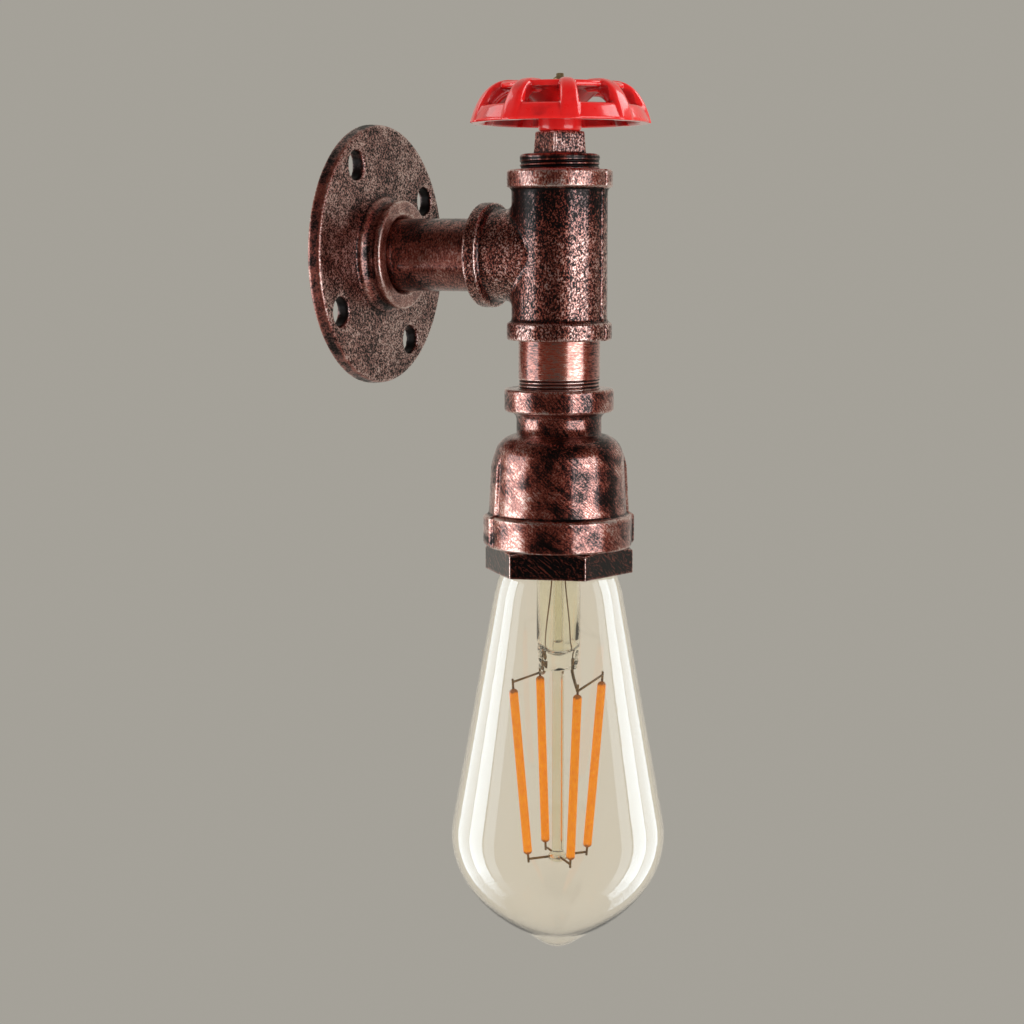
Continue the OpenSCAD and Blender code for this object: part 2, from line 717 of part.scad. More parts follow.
// Brass terminal on the ceramic, riveted through the floor; side is 1 for live, -1 for neutral
module terminal(side, grip) {
    len = 6.4;
    width = 4.4;
    middle = side*(lead_offset + 1.2);
    color("gold") on_stack() translate([0, 0, holder_top]) difference() {
        union() {
            translate([middle - len/2, -width/2, 0]) cube([len, width, terminal_h]);
            translate([side*rivet_x, 0, -holder_floor - grip])
                cylinder(d = rivet_d, h = holder_floor + grip + edge);
        }
        translate([side*lead_offset, 0, edge]) cylinder(d = core_d + 2*thread_gap, h = terminal_h);
        translate([side*lead_offset, -width, terminal_h/2]) rotate([-90, 0, 0])
            cylinder(d = grub_d + 2*thread_gap, h = width);
    }
}

module live_terminal() {
    terminal(1, tongue_t);
}

module neutral_terminal() {
    terminal(-1, shell_t);
}

// Grub screws that clamp the leads in the two terminals
module terminal_screws() {
    len = 2;
    y = -core_d/2 - thread_gap - len - seat_gap;
    color("silver") on_stack() for (s = [-1, 1])
        translate([s*lead_offset, y, holder_top + terminal_h/2]) rotate([-90, 0, 0])
            cylinder(d = grub_d, h = len);
}

// One lead from the connector block, round the bend in the tee and down to its terminal
module lead(side) {
    start = lead_start + arm_reach;
    foot = holder_top + terminal_h + seat_gap;
    on_stack() translate([side*lead_offset, 0, 0]) {
        translate([0, start, 0]) rotate([90, 0, 0]) cylinder(d = lead_d, h = start - lead_bend);
        translate([0, lead_bend, -lead_bend]) rotate([90, 0, -90]) rotate_extrude(angle = 90)
            translate([lead_bend, 0]) circle(d = lead_d);
        translate([0, 0, foot]) cylinder(d = lead_d, h = -lead_bend - foot);
        translate([0, 0, foot - bite]) cylinder(d = core_d, h = bite + edge);
        translate([0, start + bite, 0]) rotate([90, 0, 0]) cylinder(d = core_d, h = bite + edge);
    }
}

module live_lead() {
    color("saddlebrown") lead(1);
}

module neutral_lead() {
    color("royalblue") lead(-1);
}

// Puts its children at each of the connector's four screws
module at_clamps() {
    for (s = [-1, 1]) for (e = clamp_at) translate([s*lead_offset, block_y + e*block_len, 0]) children();
}

// Bars along the arm at the connector's two poles, from y over the given length
module at_poles(y, length, d) {
    for (s = [-1, 1]) translate([s*lead_offset, y, 0]) rotate([-90, 0, 0]) cylinder(d = d, h = length);
}

// Connector block that lies in the arm's pipe, where the supply is joined
module connector_block() {
    color("whitesmoke") difference() {
        translate([-block_w/2, block_y, block_low]) cube([block_w, block_len, block_h]);
        at_poles(block_y - over, block_len + 2*over, tube_d + 2*thread_gap);
        at_clamps() cylinder(d = clamp_d + 2*thread_gap, h = block_h);
    }
}

// Brass tubes in the block
module connector_tubes() {
    inset = 1;
    tap_d = 1.8;
    color("gold") difference() {
        at_poles(block_y + inset, block_len - 2*inset, tube_d);
        at_poles(block_y, block_len, core_d + 2*thread_gap);
        at_clamps() cylinder(d = tap_d, h = tube_d);
    }
}

// Screws that clamp the wires in the tubes
module connector_screws() {
    foot = tube_d/2 + thread_gap;
    sunk = 0.5;
    color("silver") at_clamps() translate([0, 0, foot])
        cylinder(d = clamp_d, h = block_low + block_h - foot - sunk);
}

// Outline of the lamp's glass from its neck down to its drawn tip, taken in by inset
function glass_outline(inset) = let (
    r = lamp_d/2 - inset,
    tip = cap_z - glass_len + inset,
    neck = neck_d/2 - inset,
    cone = [0.594*lamp_d/2 - inset, cap_z - glass_len*0.092],
    belly = [0.988*r, cap_z - glass_len*0.667],
    lean = (belly - cone)/norm(belly - cone),
    drawn = [0.37*r, tip + 0.052*glass_len],
    slope = [cos(28), sin(28)],
    full = glass_len/120)
    concat(
        [[neck, cap_z + 2.4], [neck, cap_z + 0.4]],
        curve([[neck, cap_z - 0.2], [neck + 3.2, cap_z - 1.4], cone - 4.5*full*lean, cone], 8),
        curve([belly, belly + 14*full*lean, drawn + 15*full*slope, drawn], 16),
        curve([drawn, drawn - 5*full*slope, [0.13*r, tip], [0, tip]], 8));

// Blown glass of the lamp
module lamp_glass() {
    outer = glass_outline(0);
    inner = glass_outline(glass_t);
    color("wheat", 0.4) on_stack() rotate_extrude()
        polygon(concat(outer, [for (i = [len(inner) - 1:-1:0]) inner[i]]));
}

// Screw cap of the lamp: rim, threaded part and a tapered shoulder
module lamp_cap() {
    rim_r = neck_d/2 + seat_gap + cap_t;
    nose = cap_len - nose_h;
    shoulder = nose - shoulder_h;
    thread_low = cap_rim_h + cap_blend;
    outer = [[rim_r, 0], [rim_r, cap_rim_h], [cap_r, thread_low], [cap_r, shoulder], [nose_r, nose]];
    inner = [
        [nose_r - cap_t, nose], [cap_in, shoulder - cap_t], [cap_in, thread_low],
        [rim_r - cap_t, cap_rim_h], [rim_r - cap_t, 0]];
    color("lightgray") on_stack() translate([0, 0, cap_z]) rotate_extrude() polygon(concat(outer, inner));
}

// Black glass insulator in the end of the cap
module cap_insulator() {
    high = nose_h - contact_h;
    color("black") on_stack() translate([0, 0, tip_z - nose_h]) difference() {
        cylinder(r1 = nose_r, r2 = nose_r - 3, h = high);
        translate([0, 0, -over]) cylinder(r = contact_stem_r + thread_gap, h = high + 2*over);
    }
}

// Centre contact of the cap, with its stem through the insulator
module cap_contact() {
    stem = 3;
    color("silver") on_stack() translate([0, 0, tip_z - contact_h]) {
        rotate_extrude() polygon([[0, 0], [contact_r, 0], [contact_r, edge],
            [contact_r - contact_h, contact_h], [0, contact_h]]);
        translate([0, 0, -stem]) cylinder(r = contact_stem_r, h = stem + edge/2);
    }
}

// Driver board inside the cap, with its capacitor and chip, and a hole for the exhaust tube
module driver_board() {
    hole = exhaust_d + 2*contact_gap;
    board_r = cap_in - seat_gap;
    clear = hole/2 + edge;
    color("seagreen") on_stack() translate([0, 0, cap_z + board_lift]) difference() {
        union() {
            cylinder(r = board_r, h = board_t);
            translate([clear + capacitor_d/2, 0, 0]) cylinder(d = capacitor_d, h = capacitor_h);
            translate([-clear - chip_len, -chip_len/2, 0]) cube([chip_len, chip_len, chip_h]);
        }
        translate([0, 0, -over]) cylinder(d = hole, h = capacitor_h + 2*over);
    }
}

// Outline of the stem's flare from its seal in the neck down to the straight tube
function flare_outline(wide, narrow) = curve([
    [wide, cap_z - seat_gap], [narrow + stem_t, cap_z - stem_t],
    [narrow, cap_z - stem_r/2], [narrow, cap_z - stem_r]], 8);

// Glass stem: flare sealed into the neck, tube and flattened pinch
module glass_stem() {
    flare_r = neck_d/2 - glass_t - contact_gap;
    outer = flare_outline(flare_r, stem_r);
    inner = flare_outline(flare_r - stem_t, stem_r - stem_t);
    lap = stem_t;
    color("lightcyan", 0.5) on_stack() union() {
        rotate_extrude() polygon(concat(
            outer, [[stem_r, pinch_z - lap], [stem_r - stem_t, pinch_z - lap]],
            [for (i = [len(inner) - 1:-1:0]) inner[i]]));
        intersection() {
            translate([0, 0, pinch_low]) cylinder(r1 = stem_r - stem_t, r2 = stem_r, h = pinch_h);
            union() {
                rotate([0, 0, filament_turn + 90]) translate([-stem_r, -pinch_t/2, pinch_low])
                    cube([stem_d, pinch_t, pinch_h]);
                translate([0, 0, pinch_z - 2*lap]) cylinder(r = stem_r, h = 2*lap);
            }
        }
    }
}

// Exhaust tube inside the stem
module exhaust_tube() {
    high = stem_len + exhaust_rise;
    color("lightcyan", 0.5) on_stack() translate([0, 0, pinch_z]) difference() {
        cylinder(d = exhaust_d, h = high);
        translate([0, 0, exhaust_way]) cylinder(d = exhaust_way, h = high);
    }
}

// Glass rod below the pinch, with the bead that carries the filaments' feet
module stem_rod() {
    color("lightcyan", 0.5) on_stack() {
        translate([0, 0, bead_z]) cylinder(r = rod_r, h = pinch_low - bead_z);
        translate([0, 0, bead_z - bead_h/2]) cylinder(d = bead_d, h = bead_h);
    }
}

// Ends of filament i, and a point further up or down its own line
function filament_angle(i) = filament_turn + 90*i;
function filament_head(i) = spoke(filament_top_r, filament_angle(i), cap_z - filament_top);
function filament_foot(i) = spoke(filament_foot_r, filament_angle(i), cap_z - filament_top - filament_h);
function filament_point(i, up) = let (p = filament_head(i), q = filament_foot(i)) p + up*(p - q)/norm(p - q);

// One straight filament stick
module filament(i) {
    color("orange") on_stack() bar(filament_foot(i), filament_head(i), filament_d/2);
}

module filament_1() {
    filament(0);
}

module filament_2() {
    filament(1);
}

module filament_3() {
    filament(2);
}

module filament_4() {
    filament(3);
}

// Two supply wires out of the pinch, each with a pin to one filament and a link to the next
module upper_leads() {
    root_r = stem_r - stem_t - 2*wire_d;
    thick_r = wire_r*1.4;
    joint = pin_len/3;
    color("dimgray") on_stack() for (i = [0, 2]) {
        root = spoke(root_r, filament_angle(i + 1), pinch_low);
        knee = root - [0, 0, wire_d];
        bar(knee - [0, 0, wire_r], root, thick_r);
        bar(knee, filament_point(i, joint), thick_r);
        bar(filament_point(i, 0), filament_point(i, pin_len), wire_r);
        bar(filament_point(i, joint), filament_point(i + 1, 2*joint), wire_r);
        bar(filament_point(i + 1, 0), filament_point(i + 1, pin_len), wire_r);
    }
}

// Wires from the bead to the filaments' feet
module lower_links() {
    len = norm(filament_head(0) - filament_foot(0));
    below = filament_h + bead_h/2;
    color("dimgray") on_stack() for (i = [0:3]) {
        knee = filament_point(i, -below);
        bar(spoke(bead_d/2 + edge/8, filament_angle(i), knee[2]), knee, wire_r);
        bar(filament_point(i, -below - 1), filament_point(i, -len), wire_r);
    }
}

wall_flange();
arm_pipe();
tee_fitting();
top_plug();
handwheel();
handwheel_washer();
handwheel_nut();
handwheel_screw();
drop_pipe();
bell_reducer();
hex_bush();
lampholder_body();
lampholder_shell();
contact_tongue();
live_terminal();
neutral_terminal();
terminal_screws();
live_lead();
neutral_lead();
connector_block();
connector_tubes();
connector_screws();
lamp_glass();
lamp_cap();
cap_insulator();
cap_contact();
driver_board();
glass_stem();
exhaust_tube();
stem_rod();
upper_leads();
lower_links();
filament_1();
filament_2();
filament_3();
filament_4();
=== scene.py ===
import math

import bmesh
import bpy
import numpy as np
from mathutils import Matrix, Vector


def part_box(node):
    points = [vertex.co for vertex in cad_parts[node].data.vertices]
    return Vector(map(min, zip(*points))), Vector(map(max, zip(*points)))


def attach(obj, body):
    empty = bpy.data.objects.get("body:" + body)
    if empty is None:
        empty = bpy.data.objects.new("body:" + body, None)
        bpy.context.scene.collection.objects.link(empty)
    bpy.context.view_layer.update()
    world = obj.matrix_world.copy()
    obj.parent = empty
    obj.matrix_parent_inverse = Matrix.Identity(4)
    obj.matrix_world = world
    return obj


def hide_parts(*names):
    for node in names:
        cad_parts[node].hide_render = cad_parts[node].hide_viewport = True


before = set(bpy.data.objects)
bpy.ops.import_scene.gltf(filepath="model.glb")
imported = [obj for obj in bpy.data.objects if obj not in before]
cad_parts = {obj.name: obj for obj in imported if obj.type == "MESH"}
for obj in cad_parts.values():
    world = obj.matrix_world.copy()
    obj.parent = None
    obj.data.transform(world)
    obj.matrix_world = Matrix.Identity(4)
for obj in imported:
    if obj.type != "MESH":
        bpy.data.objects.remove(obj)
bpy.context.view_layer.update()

mm = 0.001

# places that everything else is measured from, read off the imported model
dropLow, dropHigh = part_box("drop_pipe")
stackY = (dropLow.y + dropHigh.y)/2
stackPlace = Matrix.Translation((0, stackY, 0))
branchPlace = stackPlace @ Matrix.Rotation(math.radians(-90), 4, "X")
# an upright outline that is turned by this runs from the wall into the room
wallTurn = Matrix.Rotation(math.radians(90), 4, "X")
print("frame loaded, stack axis at y =", round(stackY, 4))


# size and mesh helpers

def sizes(**lengths):
    # a piece's own lengths, written in millimetres and kept in metres
    return {name: length*mm for name, length in lengths.items()}


def rounded(corners, reach, steps=4):
    # each inner corner of an outline becomes a small curve; a third number gives a corner its own reach
    points = [Vector(corners[0][:2])]
    for before, corner, after in zip(corners, corners[1:], corners[2:]):
        here = Vector(corner[:2])
        size = corner[2] if len(corner) > 2 else reach
        if size <= 0:
            points.append(here)
            continue
        back = Vector(before[:2]) - here
        ahead = Vector(after[:2]) - here
        start = here + back.normalized()*min(size, back.length*0.45)
        end = here + ahead.normalized()*min(size, ahead.length*0.45)
        if back.length > 4*size:
            points.append(start + back.normalized()*size*0.8)      # keeps the flat next to it flat
        for step in range(steps + 1):
            t = step/steps
            points.append((1 - t)**2*start + 2*t*(1 - t)*here + t*t*end)
        if ahead.length > 4*size:
            points.append(end + ahead.normalized()*size*0.8)
    points.append(Vector(corners[-1][:2]))
    return [tuple(point) for point in points]


def bezier(a, b, c, d, steps=12):
    a, b, c, d = Vector(a), Vector(b), Vector(c), Vector(d)
    points = []
    for step in range(steps + 1):
        t = step/steps
        points.append(tuple((1 - t)**3*a + 3*t*(1 - t)**2*b + 3*t*t*(1 - t)*c + t**3*d))
    return points


def around(radius, degrees, height):
    return Vector((radius*math.cos(math.radians(degrees)), radius*math.sin(math.radians(degrees)), height))


def bar(radius, low, high):
    # outline of a plain round bar
    return [(0, low), (radius, low), (radius, high), (0, high)]


def climb(radius, low, high, step):
    # outline points straight up at one radius
    count = max(1, round((high - low)/step))
    return [(radius, low + (high - low)*k/count) for k in range(count + 1)]


def share(value):
    # held between none and all
    return max(0, min(1, value))


def eased(value):
    return value*value*(3 - 2*value)


def fromBmesh(name, bm, place=None):
    # what has a place is a closed skin, which is turned right side out and moved there
    if place is not None:
        bmesh.ops.recalc_face_normals(bm, faces=bm.faces)
        bmesh.ops.transform(bm, matrix=place, verts=bm.verts)
    mesh = bpy.data.meshes.new(name)
    bm.to_mesh(mesh)
    bm.free()
    piece = bpy.data.objects.new(name, mesh)
    bpy.context.scene.collection.objects.link(piece)
    return piece


def lathe(name, outline, place, segments=128, loop=False, shape=None):
    # outline points are (radius, height); shape may move a point by its angle
    bm = bmesh.new()
    rings = []
    for radius, height in outline:
        if radius < 1e-7:
            rings.append([bm.verts.new((0, 0, height))])
            continue
        ring = []
        for step in range(segments):
            angle = 2*math.pi*step/segments
            r = radius if shape is None else shape(angle, radius, height)
            ring.append(bm.verts.new((r*math.cos(angle), r*math.sin(angle), height)))
        rings.append(ring)
    pairs = list(zip(rings, rings[1:]))
    if loop:
        pairs.append((rings[-1], rings[0]))
    for low, high in pairs:
        for step in range(segments):
            after = (step + 1) % segments
            corners = [low[step % len(low)], low[after % len(low)]]
            corners += [high[after % len(high)], high[step % len(high)]]
            bm.faces.new(list(dict.fromkeys(corners)))
    return fromBmesh(name, bm, place)


def skin(bm, rings):
    # closed skin over rings of equal point counts, with flat ends
    made = [[bm.verts.new(point) for point in ring] for ring in rings]
    for low, high in zip(made, made[1:]):
        for step in range(len(low)):
            after = (step + 1) % len(low)
            bm.faces.new((low[step], low[after], high[after], high[step]))
    bm.faces.new(list(reversed(made[0])))
    bm.faces.new(made[-1])


def loft(name, rings, place):
    bm = bmesh.new()
    skin(bm, rings)
    return fromBmesh(name, bm, place)


def prism(name, sides, ends, turn, place):
    # upright bar with regular sides; ends are (radius over the corners, height)
    turns = [turn + 360*k/sides for k in range(sides)]
    rings = [[around(radius, degrees, height) for degrees in turns] for radius, height in ends]
    return loft(name, rings, place)


def applyAll(piece):
    result = bpy.data.meshes.new_from_object(piece.evaluated_get(bpy.context.evaluated_depsgraph_get()))
    piece.modifiers.clear()
    old = piece.data
    piece.data = result
    bpy.data.meshes.remove(old)
    return piece


def discard(*pieces):
    for piece in pieces:
        bpy.data.objects.remove(piece)


def combine(piece, other, operation):
    step = piece.modifiers.new("combine", "BOOLEAN")
    step.solver = "EXACT"
    step.operation = operation
    step.object = other
    applyAll(piece)
    discard(other)
    return piece


def joined(name, pieces):
    bm = bmesh.new()
    for piece in pieces:
        bm.from_mesh(piece.data)
    discard(*pieces)
    return fromBmesh(name, bm)


def cast(piece, grain, passes):
    # overlapping shells become one casting with soft inside corners
    step = piece.modifiers.new("cast", "REMESH")
    step.mode = "VOXEL"
    step.voxel_size = grain
    step = piece.modifiers.new("soften", "SMOOTH")
    step.factor = 0.5
    step.iterations = passes
    return applyAll(piece)


def softEdges(piece, width, degrees=25, segments=3):
    step = piece.modifiers.new("edges", "BEVEL")
    step.width = width
    step.segments = segments
    step.limit_method = "ANGLE"
    step.angle_limit = math.radians(degrees)
    return applyAll(piece)


def flatShading(piece):
    # large flat faces keep their own normal next to rounded edges
    piece.data.polygons.foreach_set("use_smooth", [True]*len(piece.data.polygons))
    step = piece.modifiers.new("normals", "WEIGHTED_NORMAL")
    step.weight = 100
    return applyAll(piece)


def readArray(items, name, wide, kind=float):
    values = np.empty(len(items)*wide, dtype=kind)
    items.foreach_get(name, values)
    return values.reshape(-1, wide)


def markWearAndPaintedLight(mesh, lift=None, low=150, high=700, spread=2):
    # bulge of the surface per metre, from which the finish knows rubbed edges (+) and dark corners (-),
    # which are oxide in the copper's hollows and painted shade on the enamel; lift adds an amount of its own
    # by place, which on some pieces holds painted shade and on others a painted highlight, and says where
    # the flecks are calm
    mesh.calc_loop_triangles()
    count = len(mesh.vertices)
    points = readArray(mesh.vertices, "co", 3)
    normals = readArray(mesh.vertices, "normal", 3)
    triangles = readArray(mesh.loop_triangles, "vertices", 3, np.int32)
    bend = np.zeros((count, 3))
    area = np.full(count, 1e-14)
    for corner in range(3):
        i, j, k = (triangles[:, (corner + step) % 3] for step in range(3))
        u = points[i] - points[k]
        v = points[j] - points[k]
        size = np.linalg.norm(np.cross(u, v), axis=1) + 1e-14
        pull = (points[i] - points[j])*np.clip((u*v).sum(1)/size, -20, 20)[:, None]
        np.add.at(bend, i, pull)
        np.add.at(bend, j, -pull)
        for end in (i, j, k):
            np.add.at(area, end, size/18)
    bulge = (bend*normals).sum(1)/(4*area)
    amount = np.sign(bulge)*np.clip((np.abs(bulge) - low)/(high - low), 0, 1)
    edges = readArray(mesh.edges, "vertices", 2, np.int32)
    for turn in range(spread):
        total = amount.copy()
        parts = np.ones(count)
        np.add.at(total, edges[:, 0], amount[edges[:, 1]])
        np.add.at(total, edges[:, 1], amount[edges[:, 0]])
        np.add.at(parts, edges.ravel(), 1)
        amount = total/parts
    calm = np.zeros(count)
    if lift:
        tone, calm = lift(*points.T)
        amount = amount + tone
    for name, values in (("wearAndPaintedLight", amount), ("calm", calm)):
        mesh.attributes.new(name, "FLOAT", "POINT").data.foreach_set("value", values.astype(np.float32))


def turnOf(x, y):
    # degrees round the stack's axis
    return np.degrees(np.arctan2(y - stackY, x)) % 360


def hump(turn, middle, half):
    return np.exp(-((turn - middle)/half)**2)


def wireTube(name, paths, radius, place, sides=10):
    # round wires along point lists, one mesh
    bm = bmesh.new()
    angles = [2*math.pi*step/sides for step in range(sides)]
    for path in paths:
        points = [Vector(point) for point in path]
        rings = []
        side = None
        for index, point in enumerate(points):
            ahead = points[min(index + 1, len(points) - 1)] - points[max(index - 1, 0)]
            ahead.normalize()
            if side is None:
                side = ahead.orthogonal().normalized()
            side = (side - ahead*side.dot(ahead)).normalized()
            across = ahead.cross(side)
            rings.append([point + radius*(math.cos(a)*side + math.sin(a)*across) for a in angles])
        skin(bm, rings)
    return fromBmesh(name, bm, place)


def threadCut(s, low, high):
    # returns a shape for lathe that cuts a piece's thread between two heights, fading out at both
    pitch = s["pitch"]

    def shape(angle, radius, height):
        if radius < s["radius"] - 0.1*mm or not low < height < high:
            return radius
        fade = min(1, (height - low)/pitch, (high - height)/pitch)
        turn = height/pitch - angle/(2*math.pi)
        return radius - s["depth"]*fade*(0.5 + 0.5*math.cos(2*math.pi*turn))

    return shape


# node helpers

def addNode(tree, kind, links=None, **settings):
    made = tree.nodes.new(kind)
    for key, value in settings.items():
        setattr(made, key, value)
    for socket, value in (links or {}).items():
        if isinstance(value, bpy.types.NodeSocket):
            tree.links.new(value, made.inputs[socket])
        else:
            made.inputs[socket].default_value = value
    return made


def newFinish(name):
    finish = bpy.data.materials.new(name)
    finish.use_nodes = True
    finish.node_tree.nodes.clear()
    return finish, finish.node_tree


def surface(finish, values):
    # each socket that is named gets a plain value or a link
    shader = addNode(finish.node_tree, "ShaderNodeBsdfPrincipled", values)
    addNode(finish.node_tree, "ShaderNodeOutputMaterial", {"Surface": shader.outputs[0]})
    return finish


def noise(tree, vector, scale, detail=3.0, roughness=0.55, distortion=0.0):
    return addNode(tree, "ShaderNodeTexNoise", {
        "Vector": vector, "Scale": scale, "Detail": detail, "Roughness": roughness,
        "Distortion": distortion}).outputs[0]


def band(tree, value, low, high, toLow=0.0, toHigh=1.0):
    return addNode(tree, "ShaderNodeMapRange", {
        "Value": value, "From Min": low, "From Max": high, "To Min": toLow, "To Max": toHigh}).outputs[0]


def maths(tree, operation, *values):
    return addNode(tree, "ShaderNodeMath", dict(enumerate(values)), operation=operation).outputs[0]


def addScaled(tree, value, amount, rest):
    return maths(tree, "MULTIPLY_ADD", value, amount, rest)


def marked(tree, name):
    # reads what markWearAndPaintedLight wrote on the mesh
    return addNode(tree, "ShaderNodeAttribute", attribute_name=name).outputs["Fac"]


def heightOf(tree, spot):
    return addNode(tree, "ShaderNodeSeparateXYZ", {"Vector": spot}).outputs["Z"]


def ramp(tree, value, stops):
    made = addNode(tree, "ShaderNodeValToRGB", {"Fac": value})
    elements = made.color_ramp.elements
    elements[0].position, elements[0].color = stops[0][0], (*stops[0][1], 1)
    elements[1].position, elements[1].color = stops[-1][0], (*stops[-1][1], 1)
    for position, colour in stops[1:-1]:
        elements.new(position).color = (*colour, 1)
    return made.outputs[0]


def mapped(tree, vector, location=(0, 0, 0), rotation=(0, 0, 0), scale=(1, 1, 1)):
    return addNode(tree, "ShaderNodeMapping", {
        "Vector": vector, "Location": location, "Rotation": rotation, "Scale": scale}).outputs[0]


def objectVector(tree, **place):
    return mapped(tree, addNode(tree, "ShaderNodeTexCoord").outputs["Object"], **place)


def bumped(tree, height, strength, distance):
    return addNode(tree, "ShaderNodeBump", {
        "Height": height, "Strength": strength, "Distance": distance}).outputs[0]


# finishes

onStack = dict(location=(0, -stackY, 0))
onArm = dict(rotation=(math.radians(-90), 0, 0))

copperStops = [
    (0.00, (0.004, 0.003, 0.003)), (0.30, (0.011, 0.005, 0.004)), (0.45, (0.070, 0.013, 0.009)),
    (0.60, (0.29, 0.046, 0.024)), (0.76, (0.46, 0.13, 0.085)), (0.90, (0.66, 0.38, 0.31)),
    (1.00, (0.88, 0.66, 0.60))]


def agedCopper(name, look):
    # dark oxide with copper showing through in patches, flecks, scratches and on rubbed edges, under
    # lacquer; the marked amount also carries each piece's painted shade and painted highlights
    finish, tree = newFinish(name)
    spot = objectVector(tree, **look["centre"])
    patch = noise(tree, spot, look["patchScale"], 5, 0.62, 0.5)
    fleck = noise(tree, mapped(tree, spot, scale=look["fleckStretch"]), look["fleckScale"], 3, 0.66)
    lead = maths(tree, "MULTIPLY", heightOf(tree, spot), look["scratchLead"])
    wound = addNode(tree, "ShaderNodeVectorRotate", {
        "Vector": spot, "Angle": lead}, rotation_type="Z_AXIS").outputs[0]
    scratch = noise(tree, mapped(tree, wound, scale=look["scratchScale"]), 1.0, 3, 0.60)
    amount = addScaled(tree, band(tree, patch, 0.36, 0.64, -1, 1), look["patch"], look["copper"])
    fleckAmount = band(tree, marked(tree, "calm"), 0, 1, look["fleck"], 0)
    amount = addScaled(tree, band(tree, fleck, 0.41, 0.59, -1, 1), fleckAmount, amount)
    amount = addScaled(tree, band(tree, scratch, 0.36, 0.64, -1, 1), look["scratch"], amount)
    amount = addScaled(tree, marked(tree, "wearAndPaintedLight"), look["rub"], amount)
    grain = addScaled(tree, scratch, look["scratchBump"], fleck)
    dull = look["dullness"]
    return surface(finish, {
        "Base Color": ramp(tree, amount, copperStops),
        "Roughness": band(tree, amount, 0.1, 0.8, dull + 0.12, dull),
        "Metallic": band(tree, amount, 0.35, 0.9, look["metal"], 0.95),
        "Coat Weight": band(tree, amount, 0.28, 0.55, look["pitLacquer"], look["lacquer"]),
        "Specular IOR Level": 0.12, "Coat Roughness": dull - 0.11, "Coat IOR": 1.95,
        "Normal": bumped(tree, grain, look["bump"], 0.3*mm)})


castLook = dict(centre=onStack, patchScale=70, fleckScale=2050, fleckStretch=(1, 1, 0.75), scratchLead=0,
                scratchScale=(560, 560, 420), patch=0.08, fleck=0.37, scratch=0.14, rub=0.5, copper=0.53,
                dullness=0.32, metal=0.6, lacquer=1.0, pitLacquer=0.1, bump=0.38, scratchBump=0.1)
flangeLook = dict(castLook, centre=onArm, patchScale=120, fleckScale=1900, fleckStretch=(1, 1, 1),
                  patch=0.19, fleck=0.44, scratch=0.08, copper=0.48, dullness=0.40)
plugLook = dict(castLook, copper=0.45, rub=0.6)
armLook = dict(castLook, centre=onArm, fleckStretch=(0.7, 0.7, 1), scratchScale=(400, 400, 2600), patch=0.18,
               fleck=0.17, scratch=0.10, copper=0.465, dullness=0.30, bump=0.10, scratchBump=0.5)
dropLook = dict(armLook, centre=onStack, fleckStretch=(0.4, 0.4, 1.1), patch=0.10, fleck=0.15, copper=0.60,
                dullness=0.26, metal=0.25, bump=0.06)
bellLook = dict(castLook, patchScale=110, fleckScale=2000, fleckStretch=(1, 1, 1), scratchLead=62,
                scratchScale=(2300, 2300, 260), patch=0.30, fleck=0.17, scratch=0.16, copper=0.54,
                dullness=0.29, bump=0.18, scratchBump=0.5)
bushLook = dict(bellLook, patch=0.06, fleck=0.22, scratch=0.52, rub=1.0, copper=0.07, dullness=0.24,
                pitLacquer=0.7, bump=0.10)

castCopper = agedCopper("castCopper", castLook)
flangeCopper = agedCopper("flangeCopper", flangeLook)
plugCopper = agedCopper("plugCopper", plugLook)
armCopper = agedCopper("armCopper", armLook)
dropCopper = agedCopper("dropCopper", dropLook)
bellCopper = agedCopper("bellCopper", bellLook)
bushBlack = agedCopper("bushBlack", bushLook)


def enamel(name, stops, peel):
    finish, tree = newFinish(name)
    spot = objectVector(tree, **onStack)
    # concave places, and what the wheel's lift marks inside the bowl, are painted a darker red as shade;
    # bulging edges get a lighter red
    hollowShade = marked(tree, "wearAndPaintedLight")
    tone = addScaled(tree, hollowShade, 0.35, noise(tree, spot, 130, 4))
    return surface(finish, {
        "Base Color": ramp(tree, tone, stops),
        "Roughness": band(tree, noise(tree, spot, 400, 3), 0.3, 0.7, 0.26, 0.38),
        "Coat Weight": band(tree, hollowShade, -0.6, -0.2, 0.2, 1.0), "Coat Roughness": 0.08, "Coat IOR": 1.55,
        "Normal": bumped(tree, noise(tree, spot, 520, 2), peel, 0.3*mm)})


redEnamel = enamel("redEnamel", [
    (0.15, (0.40, 0.002, 0.003)), (0.45, (0.86, 0.007, 0.007)), (0.85, (0.96, 0.012, 0.010))], 0.12)


def clearGlass(name, tint, clear, gloss):
    # clear body, with a milky share where clear is below 1
    finish, tree = newFinish(name)
    wave = noise(tree, objectVector(tree, **onStack), 45, 2)
    pale = tuple(0.5 + 0.5*part for part in tint)
    return surface(finish, {
        "Base Color": ramp(tree, wave, [(0.3, tint), (0.7, pale)]),
        "Roughness": band(tree, wave, 0.3, 0.7, gloss, gloss + 0.012),
        "Transmission Weight": clear, "IOR": 1.46})


lampClear = clearGlass("lampClear", (0.995, 0.985, 0.955), 0.985, 0.0)
stemClear = clearGlass("stemClear", (0.975, 0.96, 0.85), 1.0, 0.0)
rodGlass = clearGlass("rodGlass", (0.93, 0.88, 0.68), 0.93, 0.10)


def plainFinish(name, dark, light, scale, roughness, metallic=0.0, bumpStrength=0.1):
    # two tones of one colour over fine noise, with matching gloss and bump
    finish, tree = newFinish(name)
    tone = noise(tree, objectVector(tree, **onStack), scale, 4)
    return surface(finish, {
        "Base Color": ramp(tree, tone, [(0.3, dark), (0.7, light)]),
        "Roughness": band(tree, tone, 0.3, 0.7, roughness + 0.08, roughness - 0.08),
        "Metallic": metallic, "Normal": bumped(tree, tone, bumpStrength, 0.2*mm)})


